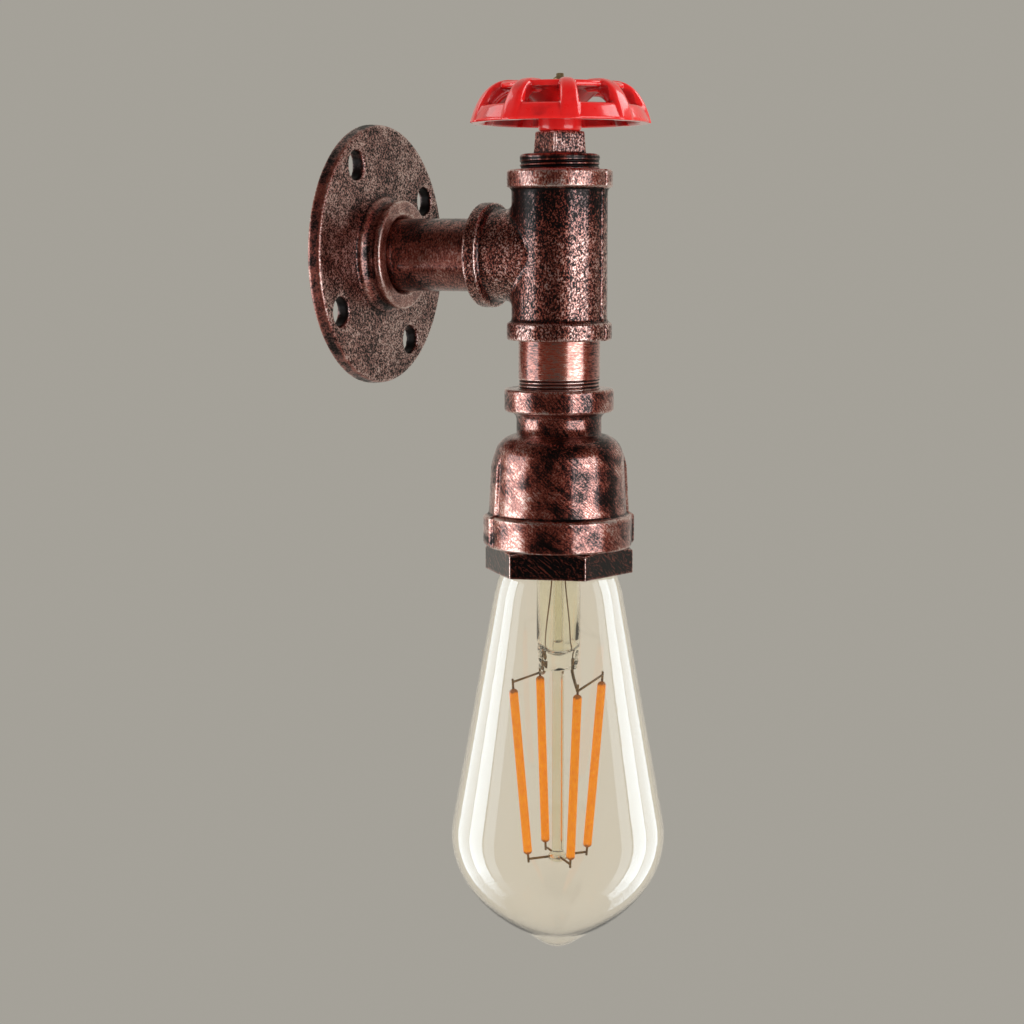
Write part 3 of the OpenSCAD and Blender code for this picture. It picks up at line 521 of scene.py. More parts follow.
screwSteel = plainFinish("screwSteel", (0.22, 0.15, 0.07), (0.56, 0.43, 0.23), 900, 0.34, 0.6)
capNickel = plainFinish("capNickel", (0.52, 0.50, 0.47), (0.70, 0.68, 0.64), 700, 0.28, 1.0)
shellBrass = plainFinish("shellBrass", (0.52, 0.34, 0.11), (0.72, 0.50, 0.20), 600, 0.30, 1.0)
holderCeramic = plainFinish("holderCeramic", (0.70, 0.67, 0.60), (0.80, 0.78, 0.72), 250, 0.35)
leadBrown = plainFinish("leadBrown", (0.10, 0.035, 0.015), (0.14, 0.05, 0.022), 800, 0.45)
leadBlue = plainFinish("leadBlue", (0.015, 0.06, 0.30), (0.022, 0.09, 0.38), 800, 0.45)
blockPlastic = plainFinish("blockPlastic", (0.68, 0.68, 0.66), (0.76, 0.76, 0.74), 400, 0.45)
insulatorBlack = plainFinish("insulatorBlack", (0.006, 0.006, 0.007), (0.014, 0.014, 0.016), 500, 0.2)
contactSolder = plainFinish("contactSolder", (0.40, 0.40, 0.41), (0.58, 0.58, 0.58), 900, 0.36, 1.0, 0.3)
boardGreen = plainFinish("boardGreen", (0.01, 0.09, 0.035), (0.02, 0.15, 0.06), 500, 0.45)
lampWire = plainFinish("lampWire", (0.13, 0.065, 0.018), (0.36, 0.21, 0.07), 1500, 0.38, 0.8)


def phosphorFinish(name, middle, half):
    # sticks with darker ends, with a painted glow: they shine by their own emission though they are no lamp
    finish, tree = newFinish(name)
    spot = objectVector(tree, **onStack)
    away = maths(tree, "ABSOLUTE", maths(tree, "SUBTRACT", heightOf(tree, spot), middle))
    tone = noise(tree, spot, 900, 3)
    tone = addScaled(tree, band(tree, away, half - 1.6*mm, half - 0.4*mm), -0.7, tone)
    colour = ramp(tree, tone, [
        (0.0, (0.24, 0.075, 0.008)), (0.25, (0.64, 0.17, 0.001)), (0.55, (0.77, 0.235, 0.001)),
        (0.8, (0.85, 0.285, 0.002))])
    return surface(finish, {
        "Base Color": colour, "Emission Color": colour, "Emission Strength": 0.60, "Specular IOR Level": 0.1,
        "Roughness": band(tree, tone, 0.3, 0.7, 0.55, 0.4), "Normal": bumped(tree, tone, 0.25, 0.2*mm)})


print("finishes ready")


# copies round the upright axis

def ringTree():
    tree = bpy.data.node_groups.new("ringOfCopies", "GeometryNodeTree")
    inputs = {"Geometry": "Geometry", "Copies": "Int", "Turn": "Float", "Finish": "Material"}
    for name, kind in inputs.items():
        tree.interface.new_socket(name, in_out="INPUT", socket_type="NodeSocket" + kind)
    tree.interface.new_socket("Geometry", in_out="OUTPUT", socket_type="NodeSocketGeometry")
    given = addNode(tree, "NodeGroupInput").outputs
    one = addNode(tree, "GeometryNodeGeometryToInstance", {"Geometry": given["Geometry"]}).outputs[0]
    copies = addNode(tree, "GeometryNodeDuplicateElements", {
        "Geometry": one, "Amount": given["Copies"]}, domain="INSTANCE").outputs
    step = maths(tree, "DIVIDE", 2*math.pi, given["Copies"])
    angle = addScaled(tree, copies["Duplicate Index"], step, given["Turn"])
    about = addNode(tree, "ShaderNodeCombineXYZ", {"Z": angle}).outputs[0]
    turned = addNode(tree, "GeometryNodeRotateInstances", {
        "Instances": copies["Geometry"], "Rotation": about, "Local Space": False}).outputs[0]
    real = addNode(tree, "GeometryNodeRealizeInstances", {"Geometry": turned}).outputs[0]
    dressed = addNode(tree, "GeometryNodeSetMaterial", {
        "Geometry": real, "Material": given["Finish"]}).outputs[0]
    addNode(tree, "NodeGroupOutput", {"Geometry": dressed})
    return tree


ringOfCopies = ringTree()


def ringCopies(piece, copies, turn, finish, place):
    step = piece.modifiers.new("ring", "NODES")
    step.node_group = ringOfCopies
    face = ringOfCopies.interface.items_tree
    sockets = {item.name: item.identifier for item in face if item.in_out == "INPUT"}
    step[sockets["Copies"]] = copies
    step[sockets["Turn"]] = math.radians(turn)
    step[sockets["Finish"]] = finish
    applyAll(piece)
    piece.data.transform(place)
    return piece


def dress(piece, finish, body, slot, *nodes, wearAndPaintedLight=False, lift=None):
    if wearAndPaintedLight:
        markWearAndPaintedLight(piece.data, lift)
    piece.data.materials.clear()
    piece.data.materials.append(finish)
    piece.data.polygons.foreach_set("use_smooth", [True]*len(piece.data.polygons))
    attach(piece, body)
    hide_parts(*nodes)
    return piece


# wall flange

flange = dict(sizes(
    radius=39.0, thick=4.0, draft=0.4, footRadius=17.3, footHigh=1.5, waist=15.5, bossRadius=16.3,
    bossTop=11.0, bead=1.7, bore=10.9, recess=12.1, recessDeep=1.3, edge=0.9, holeCircle=31.0, hole=4.25,
    holeLip=0.7, grain=0.42), holeTurn=32.0, holes=4)


def makeFlange(s):
    plate, top = s["thick"], s["bossTop"]
    foot = plate + s["footHigh"]
    outline = rounded([
        (s["bore"], top/2), (s["bore"], 0, 0), (s["radius"], 0, 0.4*mm), (s["radius"] - s["draft"], plate),
        (s["footRadius"] + 0.2*mm, plate, 0.6*mm), (s["footRadius"], foot, 0.7*mm),
        (s["waist"], foot + 1.0*mm, 0.7*mm), (s["waist"], top - s["bead"] - 0.7*mm, 0.5*mm),
        (s["bossRadius"], top - s["bead"], 0.5*mm), (s["bossRadius"], top, 0.7*mm),
        (s["recess"], top, 0.4*mm), (s["bore"], top - s["recessDeep"], 0.3*mm),
        (s["bore"], top/2)], s["edge"], 5)[:-1]
    piece = lathe("wallFlange", outline, wallTurn, 160, loop=True)
    wide, past = s["hole"] + s["holeLip"], 2*mm
    lip = [(0, -past), (s["hole"], -past), (s["hole"], plate - s["holeLip"]), (wide, plate + 0.05*mm),
           (wide, plate + past), (0, plate + past)]
    cutter = lathe("holeCutter", lip, Matrix.Translation((s["holeCircle"], 0, 0)), 48)
    ringCopies(cutter, s["holes"], s["holeTurn"], flangeCopper, wallTurn)
    combine(piece, cutter, "DIFFERENCE")
    return cast(piece, s["grain"], 2)


def flangeWearAndShade(x, y, z):
    # the boss is rubbed pale on its face, the rim is smooth, the holes are smooth, and each hole's inside is
    # darkened as painted shade
    s = flange
    away = np.hypot(x, z)
    rim = away > s["radius"] - 0.7*mm
    face = (-y > s["bossTop"] - 0.5*mm) & (away > s["recess"])
    tone = np.where(face, 0.28, np.where(rim, -0.16, 0.0))
    calm = np.where(rim, 0.7, np.where(away < s["footRadius"] + 0.3*mm, 0.55, 0.0))
    for k in range(s["holes"]):
        hole = around(s["holeCircle"], s["holeTurn"] + 360*k/s["holes"], 0)
        inside = np.hypot(x - hole.x, z - hole.y) < s["hole"] + 0.25*mm
        # painted shade inside the hole
        tone[inside] = -0.7
        calm[inside] = 0.9
    return tone, calm


dress(makeFlange(flange), flangeCopper, "fixture", "cast_copper", "wall_flange", wearAndPaintedLight=True, lift=flangeWearAndShade)
print("flange done")


# pipes

armPipe = sizes(radius=10.8, way=8.4, edge=0.4)
dropPipe = sizes(radius=12.0, way=9.4, edge=0.4, threadTop=-35.6, pitch=1.05, depth=0.38)


def pipeOutline(s, low, high):
    middle = (s["way"], (low + high)/2)
    corners = [middle, (s["way"], low), (s["radius"], low), (s["radius"], high), (s["way"], high), middle]
    return rounded(corners, s["edge"])[:-1]


def makeArm(s):
    low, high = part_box("arm_pipe")
    return lathe("armPipe", pipeOutline(s, -high.y, -low.y), wallTurn, 128, loop=True)


def makeDrop(s):
    low, high = dropLow.z, dropHigh.z
    end, start = 1*mm, low + 1.2*mm
    plain = pipeOutline(s, low, high)
    lower = [point for point in plain if point[1] < low + end]
    upper = [point for point in plain if point[1] > high - end]
    threads = climb(s["radius"], start, s["threadTop"], s["pitch"]/8)
    cut = threadCut(s, start, s["threadTop"])
    return lathe("dropPipe", lower + threads + upper, stackPlace, 128, loop=True, shape=cut)


def dropFlecksAndHighlight(x, y, z):
    # clean copper towards the front, oxide flecks on both flanks, and a painted highlight: paler copper in a
    # narrow strip where the right highlight falls
    turn = turnOf(x, y)
    front = hump(turn, 208, 30)
    # the hump at 231 degrees is the painted highlight; the humps at 162 and 262 degrees are oxide flecks
    tone = 0.06*front + 0.22*hump(turn, 231, 14) - 0.24*hump(turn, 162, 18) - 0.45*hump(turn, 262, 16)
    return tone, 0.6*front


dress(makeArm(armPipe), armCopper, "fixture", "pipe_copper", "arm_pipe", wearAndPaintedLight=True)
dress(makeDrop(dropPipe), dropCopper, "fixture", "pipe_copper", "drop_pipe", wearAndPaintedLight=True, lift=dropFlecksAndHighlight)
print("pipes done")


# tee

tee = sizes(
    half=24.6, branch=24.6, runRadius=14.0, branchRadius=13.5, bandRadius=15.4, runBand=5.1, branchBand=4.2,
    runBore=12.1, branchBore=10.9, socket=10.0, way=9.4, branchWay=8.4, crotch=2.6, seamHigh=0.4,
    seamWide=3.2, grain=0.34)


def bandedEnd(s, radius, length, width):
    low = length - width
    return rounded([
        (radius, 0), (radius, low - 0.3*mm, 1.0*mm), (s["bandRadius"], low, 0.5*mm),
        (s["bandRadius"], length, 0.7*mm), (0, length)], 0.6*mm)


def crotchFillet(s, up):
    # bar with a hollow face along the corner between run and branch
    rings = []
    reach = 0.96*min(s["runRadius"], s["branchRadius"])
    least, sink = 0.8*mm, 0.6*mm
    steps, bends = 12, 8
    for step in range(2*steps + 1):
        x = reach*(step/steps - 1)
        y = math.sqrt(s["runRadius"]**2 - x*x)
        z = math.sqrt(s["branchRadius"]**2 - x*x)
        f = least + (s["crotch"] - least)*math.sqrt(max(0, 1 - (x/reach)**2))
        ring = [(x, y - sink, up*(z - sink)), (x, y - sink, up*(z + f))]
        for k in range(bends + 1):
            a = math.pi*(1 + k/bends/2)
            ring.append((x, y + f + f*math.cos(a), up*(z + f + f*math.sin(a))))
        rings.append(ring + [(x, y + f, up*(z - sink))])
    return loft("crotchFillet", rings, stackPlace)


def castSeam(s, run):
    # low ground-off parting line down the front of the run and its bands
    wide, sink = s["seamWide"]/2, 0.6*mm
    rings = []
    for radius, z in run[1:-1]:
        deep, out = -radius + sink, -radius - s["seamHigh"]
        rings.append([(-wide, deep, z), (-wide, out, z), (wide, out, z), (wide, deep, z)])
    return loft("castSeam", rings, stackPlace)


def makeTee(s):
    half = bandedEnd(s, s["runRadius"], s["half"], s["runBand"])
    run = [(r, -z) for r, z in reversed(half)][:-1] + half
    branch = [(0, 0)] + bandedEnd(s, s["branchRadius"], s["branch"], s["branchBand"])
    piece = joined("teeFitting", [
        lathe("run", run, stackPlace), lathe("branch", branch, branchPlace), crotchFillet(s, 1),
        crotchFillet(s, -1), castSeam(s, run)])
    cast(piece, s["grain"], 4)
    past = 2*mm
    end, deep = s["half"] + past, s["half"] - s["socket"]
    runWay = lathe("runWay", [
        (0, -end), (s["runBore"], -end), (s["runBore"], -deep), (s["way"], -deep), (s["way"], deep),
        (s["runBore"], deep), (s["runBore"], end), (0, end)], stackPlace, 96)
    end, deep = s["branch"] + past, s["branch"] - s["socket"]
    branchWay = lathe("branchWay", [
        (0, 0), (s["branchWay"], 0), (s["branchWay"], deep), (s["branchBore"], deep), (s["branchBore"], end),
        (0, end)], branchPlace, 96)
    combine(piece, runWay, "DIFFERENCE")
    combine(piece, branchWay, "DIFFERENCE")
    return piece


def teeWearAndShade(x, y, z):
    # the body is darkened towards the top band and on one flank as painted shade, the branch is darker
    # towards its top, and the top band is rubbed
    body = np.hypot(x, y - stackY) < tee["bandRadius"] - 0.7*mm
    # the falloff towards the top and the hump at 160 degrees are painted shade
    tone = -0.62*np.clip((z - 3*mm)/(12*mm), 0, 1) - 0.36*hump(turnOf(x, y), 160, 30)
    top = z > tee["half"] - tee["runBand"] - 0.4*mm
    over = np.where(y - stackY > tee["bandRadius"], -0.4*np.clip((z - 4*mm)/(10*mm), 0, 1), 0)
    return np.where(top, 0.22, np.where(body, tone, over)), np.where(top, 0.35, 0)


dress(makeTee(tee), castCopper, "fixture", "cast_copper", "tee_fitting", wearAndPaintedLight=True, lift=teeWearAndShade)
print("tee done")


# top plug

plug = dict(sizes(
    radius=11.65, low=14.8, threadTop=28.0, top=29.1, pitch=1.3, depth=0.5, side=11.4, sideTop=10.5,
    headTop=35.6, edge=0.5, screwHole=2.1, grain=0.22), turn=13.7)


def makePlug(s):
    barrel = [(0, s["low"])] + climb(s["radius"], s["low"], s["threadTop"], s["pitch"]/10)
    barrel += bezier((s["radius"], s["threadTop"] + 0.1*mm), (s["radius"], s["top"] - 0.3*mm),
                     (s["radius"] - 0.3*mm, s["top"]), (s["radius"] - 1.3*mm, s["top"]), 6) + [(0, s["top"])]
    cut = threadCut(s, s["low"], s["threadTop"])
    corner = math.sqrt(0.5)
    head = prism("plugHead", 4, [(s["side"]*corner, s["top"] - 1.2*mm), (s["sideTop"]*corner, s["headTop"])],
                 s["turn"], stackPlace)
    softEdges(head, s["edge"])
    piece = joined("topPlug", [lathe("barrel", barrel, stackPlace, 128, shape=cut), head])
    cast(piece, s["grain"], 2)
    hole = bar(s["screwHole"], s["top"], s["headTop"] + 2*mm)
    return combine(piece, lathe("screwHole", hole, stackPlace, 48), "DIFFERENCE")


def darkThread(x, y, z):
    thread = (np.hypot(x, y - stackY) > 9*mm) & (z < plug["top"] + 0.3*mm)
    return np.where(thread, -0.55, 0), np.where(thread, 0.8, 0)


dress(makePlug(plug), plugCopper, "fixture", "cast_copper", "top_plug", wearAndPaintedLight=True, lift=darkThread)
print("plug done")


# handwheel with its washer, nut and screw

wheel = dict(sizes(
    radius=26.5, rimRadius=26.3, rimLean=2.3, proud=0.8, wall=3.2, rimLow=37.7, rimHigh=4.9, high=12.2,
    crown=18.25, crownThick=1.8, hub=6.3, washerLow=45.9, bore=2.08, dish=5.4, ribWide=6.0, ribTopWide=3.9,
    ribFlat=15.75, grain=0.29), hubLow=plug["headTop"], ribs=9, ribTurn=10.6)


def ribRings(s):
    # round-edged bar that leans in from the rim's foot and arches over to the crown
    out, flat, high = s["radius"], s["ribFlat"], s["high"]
    thick = s["wall"] + s["proud"]
    within, under = out - thick, high - thick
    lean, arch, root = 1.4*mm, 4.4*mm, flat - 4*mm
    outer = bezier((out, 0), (out - lean, 0.45*high), (out - arch, 0.97*high), (flat, high), 20)
    inner = bezier((within, 0), (within - lean, 0.45*under), (within - arch, 0.97*under),
                   (flat - 1*mm, under), 20)
    outer.append((root, high))
    inner.append((root, under))
    sides, square = 28, 0.55
    rings = []
    for (ro, zo), (ri, zi) in zip(outer, inner):
        wide = s["ribTopWide"] + (s["ribWide"] - s["ribTopWide"])*share((ro - flat)/(out - flat))
        ring = []
        for k in range(sides):
            a = 2*math.pi*k/sides
            u = math.copysign(abs(math.cos(a))**square, math.cos(a))
            v = math.copysign(abs(math.sin(a))**square, math.sin(a))
            ring.append(((ro + ri)/2 + (ro - ri)/2*u, wide/2*v, s["rimLow"] + (zo + zi)/2 + (zo - zi)/2*u))
        rings.append(ring)
    return rings


def makeWheel(s):
    out, wall, low = s["rimRadius"], s["wall"], s["rimLow"]
    web, head = low + s["high"] - s["proud"], low + s["rimHigh"]
    under, lean = web - s["crownThick"], out - s["rimLean"]
    middle = (out - wall - s["rimLean"]/2, low + s["rimHigh"]/2)
    rim = rounded([middle, (out - wall, low, 0.7*mm), (out, low, 0.9*mm), (lean, head, 1.1*mm),
                   (lean - wall, head, 1.1*mm), middle], 0.6*mm)[:-1]
    crown = rounded([
        (0, web - 2*wall), (s["hub"], web - 2*wall, 1.5*mm), (s["crown"] - 2*wall, under, 1.5*mm),
        (s["crown"], under, 0.6*mm), (s["crown"], web, 0.8*mm), (0, web)], 0.8*mm)
    hub = rounded([(0, s["hubLow"]), (s["hub"], s["hubLow"], 0.8*mm), (s["hub"], s["washerLow"], 0),
                   (0, s["washerLow"])], 0.6*mm)
    ribs = ringCopies(loft("ribs", ribRings(s), Matrix()), s["ribs"], s["ribTurn"], redEnamel, stackPlace)
    piece = joined("valveWheel", [
        lathe("rim", rim, stackPlace, 160, loop=True), lathe("crown", crown, stackPlace, 160),
        lathe("hub", hub, stackPlace, 96), ribs])
    cast(piece, s["grain"], 6)
    past = 2*mm
    way = rounded([
        (0, s["hubLow"] - past), (s["bore"], s["hubLow"] - past, 0), (s["bore"], s["washerLow"], 0),
        (s["dish"], s["washerLow"], 0.4*mm), (s["dish"] + wall, web, 0.6*mm),
        (s["dish"] + wall + past, web + past, 0), (0, web + past)], 0)
    return combine(piece, lathe("wheelWay", way, stackPlace, 96), "DIFFERENCE")


washer = dict(sizes(radius=4.8, thick=0.9, edge=0.2), way=wheel["bore"], low=wheel["washerLow"])
nut = dict(sizes(flat=3.5, high=3.2, bore=2.1, edge=0.25), low=washer["low"] + washer["thick"], turn=0.0)
screw = sizes(radius=2.0, low=29.6, top=52.1, pitch=0.7, depth=0.28, tip=1.1, tipHigh=1.5)


def makeWasher(s):
    outline = pipeOutline(s, s["low"], s["low"] + s["thick"])
    return lathe("handwheelWasher", outline, stackPlace, 64, loop=True)


def makeNut(s):
    low, high = s["low"], s["low"] + s["high"]
    corner = s["flat"]/math.cos(math.pi/6)
    piece = prism("handwheelNut", 6, [(corner, low), (corner, high)], s["turn"], stackPlace)
    past = 1*mm
    cone = lathe("nutCone", [(0, low - past), (corner + s["high"], low - past), (corner + s["high"], low),
                             (s["flat"], high), (0, high)], stackPlace, 72)
    combine(piece, cone, "INTERSECT")
    bore = bar(s["bore"], low - past, high + past)
    combine(piece, lathe("nutBore", bore, stackPlace, 48), "DIFFERENCE")
    return flatShading(softEdges(piece, s["edge"], 30, 2))


def makeScrew(s):
    full, tip, top = s["top"] - s["tipHigh"], s["tip"], s["top"]
    outline = [(0, s["low"])] + climb(s["radius"], s["low"], full, s["pitch"]/8)
    outline += [(tip, full + 0.6*mm), (tip, top - 0.2*mm), (tip - 0.25*mm, top), (0, top)]
    return lathe("handwheelScrew", outline, stackPlace, 48, shape=threadCut(s, s["low"], full))


def wheelShade(x, y, z):
    # painted shade: the inside of the bowl is a deeper red
    s = wheel
    away = np.hypot(x, y - stackY)
    up = (z - s["rimLow"])/s["high"]
    shell = s["radius"] - s["wall"] - 3.5*mm*np.clip(up, 0, 1)**2
    within = (away < shell - 0.4*mm) & (away > s["hub"] + 0.3*mm) & (up < 0.80)
    return np.where(within, -0.8, 0), np.zeros(len(x))


handwheel = dress(makeWheel(wheel), redEnamel, "wheel", "red_enamel", "handwheel", wearAndPaintedLight=True, lift=wheelShade)
dress(makeWasher(washer), screwSteel, "fixture", "steel", "handwheel_washer")
dress(makeNut(nut), screwSteel, "fixture", "steel", "handwheel_nut")
dress(makeScrew(screw), screwSteel, "fixture", "steel", "handwheel_screw")
print("handwheel done")


# bell reducer

bell = dict(sizes(
    collarTop=-38.7, collar=16.1, collarLow=-45.8, neck=12.5, domeTop=-52.3, shoulder=19.15, shoulderZ=-59.5,
    mouth=19.95, bandTop=-76.0, band=21.6, low=-85.3, bore=19.45, boreTop=-78.3, cavity=16.65,
    cavityTop=-55.2, way=9.4, socket=12.1, socketLow=-45.2, ribWide=8.8, ribProud=0.78, ribTop=-57.6,
    ribFull=-61.5, ribEdge=0.8), ribTurn=128.0)


def makeBell(s):
    rise, width = s["domeTop"] - s["shoulderZ"], s["shoulder"] - s["neck"]
    dome = [(s["neck"] + width*math.sin(a), s["shoulderZ"] + rise*math.cos(a))
            for a in (math.radians(7.5*k) for k in range(13))]
    upper = rounded([
        (s["socket"], s["socketLow"]), (s["socket"], s["collarTop"], 0.4*mm),
        (s["collar"], s["collarTop"], 0.9*mm), (s["collar"], s["collarLow"] + 0.4*mm, 0.9*mm),
        (s["neck"] + 1.2*mm, s["collarLow"], 0.8*mm), (s["neck"], s["collarLow"] - 1.2*mm, 1.4*mm),
        (s["neck"], s["domeTop"] + 0.3*mm)], 0.5*mm)
    foot = s["bandTop"] + 1.6*mm
    shoulder, mouth = Vector((s["shoulder"], s["shoulderZ"])), Vector((s["mouth"], foot))
    flare = [tuple(shoulder.lerp(mouth, k/20)) for k in range(1, 21)]
    lower = rounded([
        (s["mouth"], foot), (s["mouth"] + 0.1*mm, s["bandTop"] + 0.5*mm, 0.6*mm),
        (s["band"], s["bandTop"] - 0.1*mm, 0.7*mm), (s["band"], s["low"], 0.8*mm),
        (s["bore"], s["low"], 0.3*mm), (s["bore"], s["boreTop"], 0.1*mm),
        (s["cavity"], s["boreTop"], 0.1*mm), (s["cavity"], s["shoulderZ"], 0.3*mm),
        (s["cavity"] - 3*mm, s["cavityTop"], 0.3*mm),
        (s["way"], s["cavityTop"], 0.1*mm), (s["way"], s["socketLow"], 0.1*mm),
        (s["socket"], s["socketLow"])], 0.4*mm)[1:-1]

    def castRib(angle, radius, height):
        # two flat ribs up the side, which also run over the mouth band
        foot = s["low"] + 0.3*mm
        inner = s["band"] - 0.9*mm if height < s["bandTop"] - 1*mm else s["shoulder"] - 1.5*mm
        if radius < inner or not foot <= height <= s["ribTop"]:
            return radius
        off = (angle - math.radians(s["ribTurn"]) + math.pi/2) % math.pi - math.pi/2
        side = share((s["ribWide"]/2 - abs(off)*radius)/s["ribEdge"] + 0.5)
        rise = share((s["ribTop"] - height)/(s["ribTop"] - s["ribFull"]))
        return radius + s["ribProud"]*eased(side)*rise*share((height - foot)/(0.8*mm))

    body = climb(s["band"], s["low"] + 1.5*mm, s["bandTop"] - 1.5*mm, 1.2*mm)
    cut = next(index for index, point in enumerate(lower) if point[1] < s["bandTop"] - 1.6*mm)
    lower = lower[:cut] + list(reversed(body)) + lower[cut:]
    return lathe("bellReducer", upper + dome[1:] + flare + lower, stackPlace, 288, loop=True, shape=castRib)


def bellHighlightAndOxide(x, y, z):
    # a painted highlight: more copper on the flank where the left highlight falls; more oxide on the front
    turn = turnOf(x, y)
    dome = (z < bell["domeTop"]) & (z > bell["bandTop"])
    return np.where(dome, 0.40, 0.05)*hump(turn, 162, 26) - 0.24*hump(turn, 210, 20), np.zeros(len(x))


dress(makeBell(bell), bellCopper, "fixture", "bell_copper", "bell_reducer", wearAndPaintedLight=True, lift=bellHighlightAndOxide)
print("bell done")


# hexagon bush

bush = dict(sizes(
    flat=19.25, low=-92.9, bore=17.45, chamfer=0.9, spigot=19.35, spigotTop=-80.3, mouth=0.6,
    grain=0.27), top=bell["low"], turn=14.3)


def makeBush(s):
    corner = s["flat"]/math.cos(math.pi/6)
    low, top, c, past = s["low"], s["top"], s["chamfer"], 1*mm
    piece = prism("hexBush", 6, [(corner, low), (corner, top)], s["turn"] + 30, stackPlace)
    cone = lathe("bushCone", [
        (0, low - past), (corner + past, low - past), (corner + past, top - c - past/2), (corner - 2*c, top),
        (0, top)], stackPlace, 96)
    combine(piece, cone, "INTERSECT")
    spigot = lathe("spigot", bar(s["spigot"], top - past, s["spigotTop"]), stackPlace, 96)
    piece = cast(joined("hexBush", [piece, spigot]), s["grain"], 1)
    bore, wide, end = s["bore"], s["bore"] + s["mouth"], s["spigotTop"] + past
    way = lathe("bushWay", [
        (0, low - past), (wide + past, low - past), (wide, low), (bore, low + s["mouth"]), (bore, end),
        (0, end)], stackPlace, 128)
    return combine(piece, way, "DIFFERENCE")


dress(makeBush(bush), bushBlack, "fixture", "dark_bush", "hex_bush", wearAndPaintedLight=True)
print("bush done")


# lamp: glass, cap, stem, filaments and their wires

lampRim = -88.3*mm
lamp = dict(sizes(
    radius=31.97, length=120.0, wall=1.0, neck=13.0, cone=19.0, coneDown=11.04, bellyDown=80.04,
    drawnUp=6.24), belly=0.988, drawn=0.37, slope=28.0)


def glassOutline(s, inset):
    radius, rim, neck = s["radius"] - inset, lampRim, s["neck"] - inset
    tip = rim - s["length"] + inset
    cone = Vector((s["cone"] - inset, rim - s["coneDown"]))
    belly = Vector((s["belly"]*radius, rim - s["bellyDown"]))
    lean = (belly - cone).normalized()
    drawn = Vector((s["drawn"]*radius, tip + s["drawnUp"]))
    slope = around(1, s["slope"], 0).xy
    top = [(neck, rim + 2.4*mm), (neck, rim + 0.4*mm)]
    upper = bezier((neck, rim - 0.2*mm), (neck + 3.2*mm, rim - 1.4*mm), cone - 4.5*mm*lean, cone, 16)
    side = [tuple(cone.lerp(belly, k/20)) for k in range(1, 20)]
    lower = bezier(belly, belly + 14*mm*lean, drawn + 15*mm*slope, drawn, 30)
    end = bezier(drawn, drawn - 5*mm*slope, (0.13*radius, tip), (0, tip), 14)
    return top + upper + side + lower + end[1:-1] + [(0, end[-1][1])]


def makeGlass(s):
    outer, inner = glassOutline(s, 0), glassOutline(s, s["wall"])
    return lathe("lampGlass", list(reversed(outer)) + inner, stackPlace, 160)


cap = sizes(neckOut=13.6, radius=13.1, thick=0.4, length=26.0, nose=9.1, pitch=3.629, depth=0.75)


def makeCap(s):
    neck, thick, top = s["neckOut"], s["thick"], lampRim + s["length"]
    shoulder, nose = top - 6*mm, top - 3.2*mm
    low, edge = lampRim + 3.4*mm, lampRim + 2.4*mm
    within = s["radius"] - thick - 0.9*mm
    threads = climb(s["radius"], low, shoulder, 0.28*mm)
    outer = [(neck, lampRim), (neck, edge)] + threads + [(s["nose"], nose)]
    inner = [(s["nose"] - thick, nose), (within, shoulder - thick), (within, low), (neck - thick, edge),
             (neck - thick, lampRim)]
    cut = threadCut(s, low, shoulder)
    return lathe("lampCap", outer + inner, stackPlace, 96, loop=True, shape=cut)


stem = dict(sizes(
    flare=11.7, radius=6.5, wall=0.8, pinchTop=-117.3, pinchLow=-122.8, pinchThick=2.5), pinchTurn=137.0)


def makeStem(s):
    rim, r, flare, top, low = lampRim, s["radius"], s["flare"], s["pinchTop"], s["pinchLow"]
    straight, bend, foot = rim - 9*mm, rim - 4*mm, top + 4*mm
    outer = [(flare, rim - 0.2*mm)]
    outer += bezier((flare, rim - 1*mm), (r + 1.5*mm, rim - 2*mm), (r, bend), (r, straight), 12)
    outer += list(reversed(climb(r, foot, straight, 2*mm)))[1:]
    outer += [(r - 0.9*mm*k/16, foot - (foot - low)*k/16) for k in range(1, 16)]
    outer += [(r - 1.4*mm, low + 0.1*mm), (r - 2.4*mm, low), (0, low)]
    w = r - s["wall"]
    inner = bezier((flare - s["wall"], rim - 0.2*mm), (r + 1*mm, rim - 1.4*mm), (w, bend), (w, straight), 12)
    inner += [(w, top + 3*mm), (w - 0.6*mm, top + 1.2*mm), (w - 2*mm, top + 0.4*mm), (0, top + 0.2*mm)]

    def press(angle, radius, height):
        # the tube is squeezed flat below the pinch line
        start, full = top + 3*mm, top - 1.5*mm
        pressed = eased(share((start - height)/(start - full)))
        a = angle - math.radians(s["pinchTurn"])
        flat = abs(math.sin(a))*radius
        squeezed = radius if flat <= s["pinchThick"] else s["pinchThick"]/abs(math.sin(a))
        ripple = 1 + 0.03*pressed*math.sin(5*a + height*2500)
        return (radius + (squeezed - radius)*pressed)*ripple

    return lathe("glassStem", list(reversed(inner)) + outer, stackPlace, 96, shape=press)


tube = dict(sizes(radius=1.6, way=1.0, top=-76.3), low=stem["pinchTop"])
rod = dict(sizes(radius=1.75, low=-180.4, bead=3.0, beadHalf=1.6), top=stem["pinchLow"])


def makeTube(s):
    low, top, out, way, e = s["low"], s["top"], s["radius"], s["way"], 0.3*mm
    floor = low + 2*mm
    return lathe("exhaustTube", [
        (0, low), (out - e, low), (out, low + e), (out, low + 2*e), (out, top - e), (out, top), (way, top),
        (way, top - e), (way, floor + 2*e), (way, floor + e), (way - e, floor), (0, floor)], stackPlace, 48)


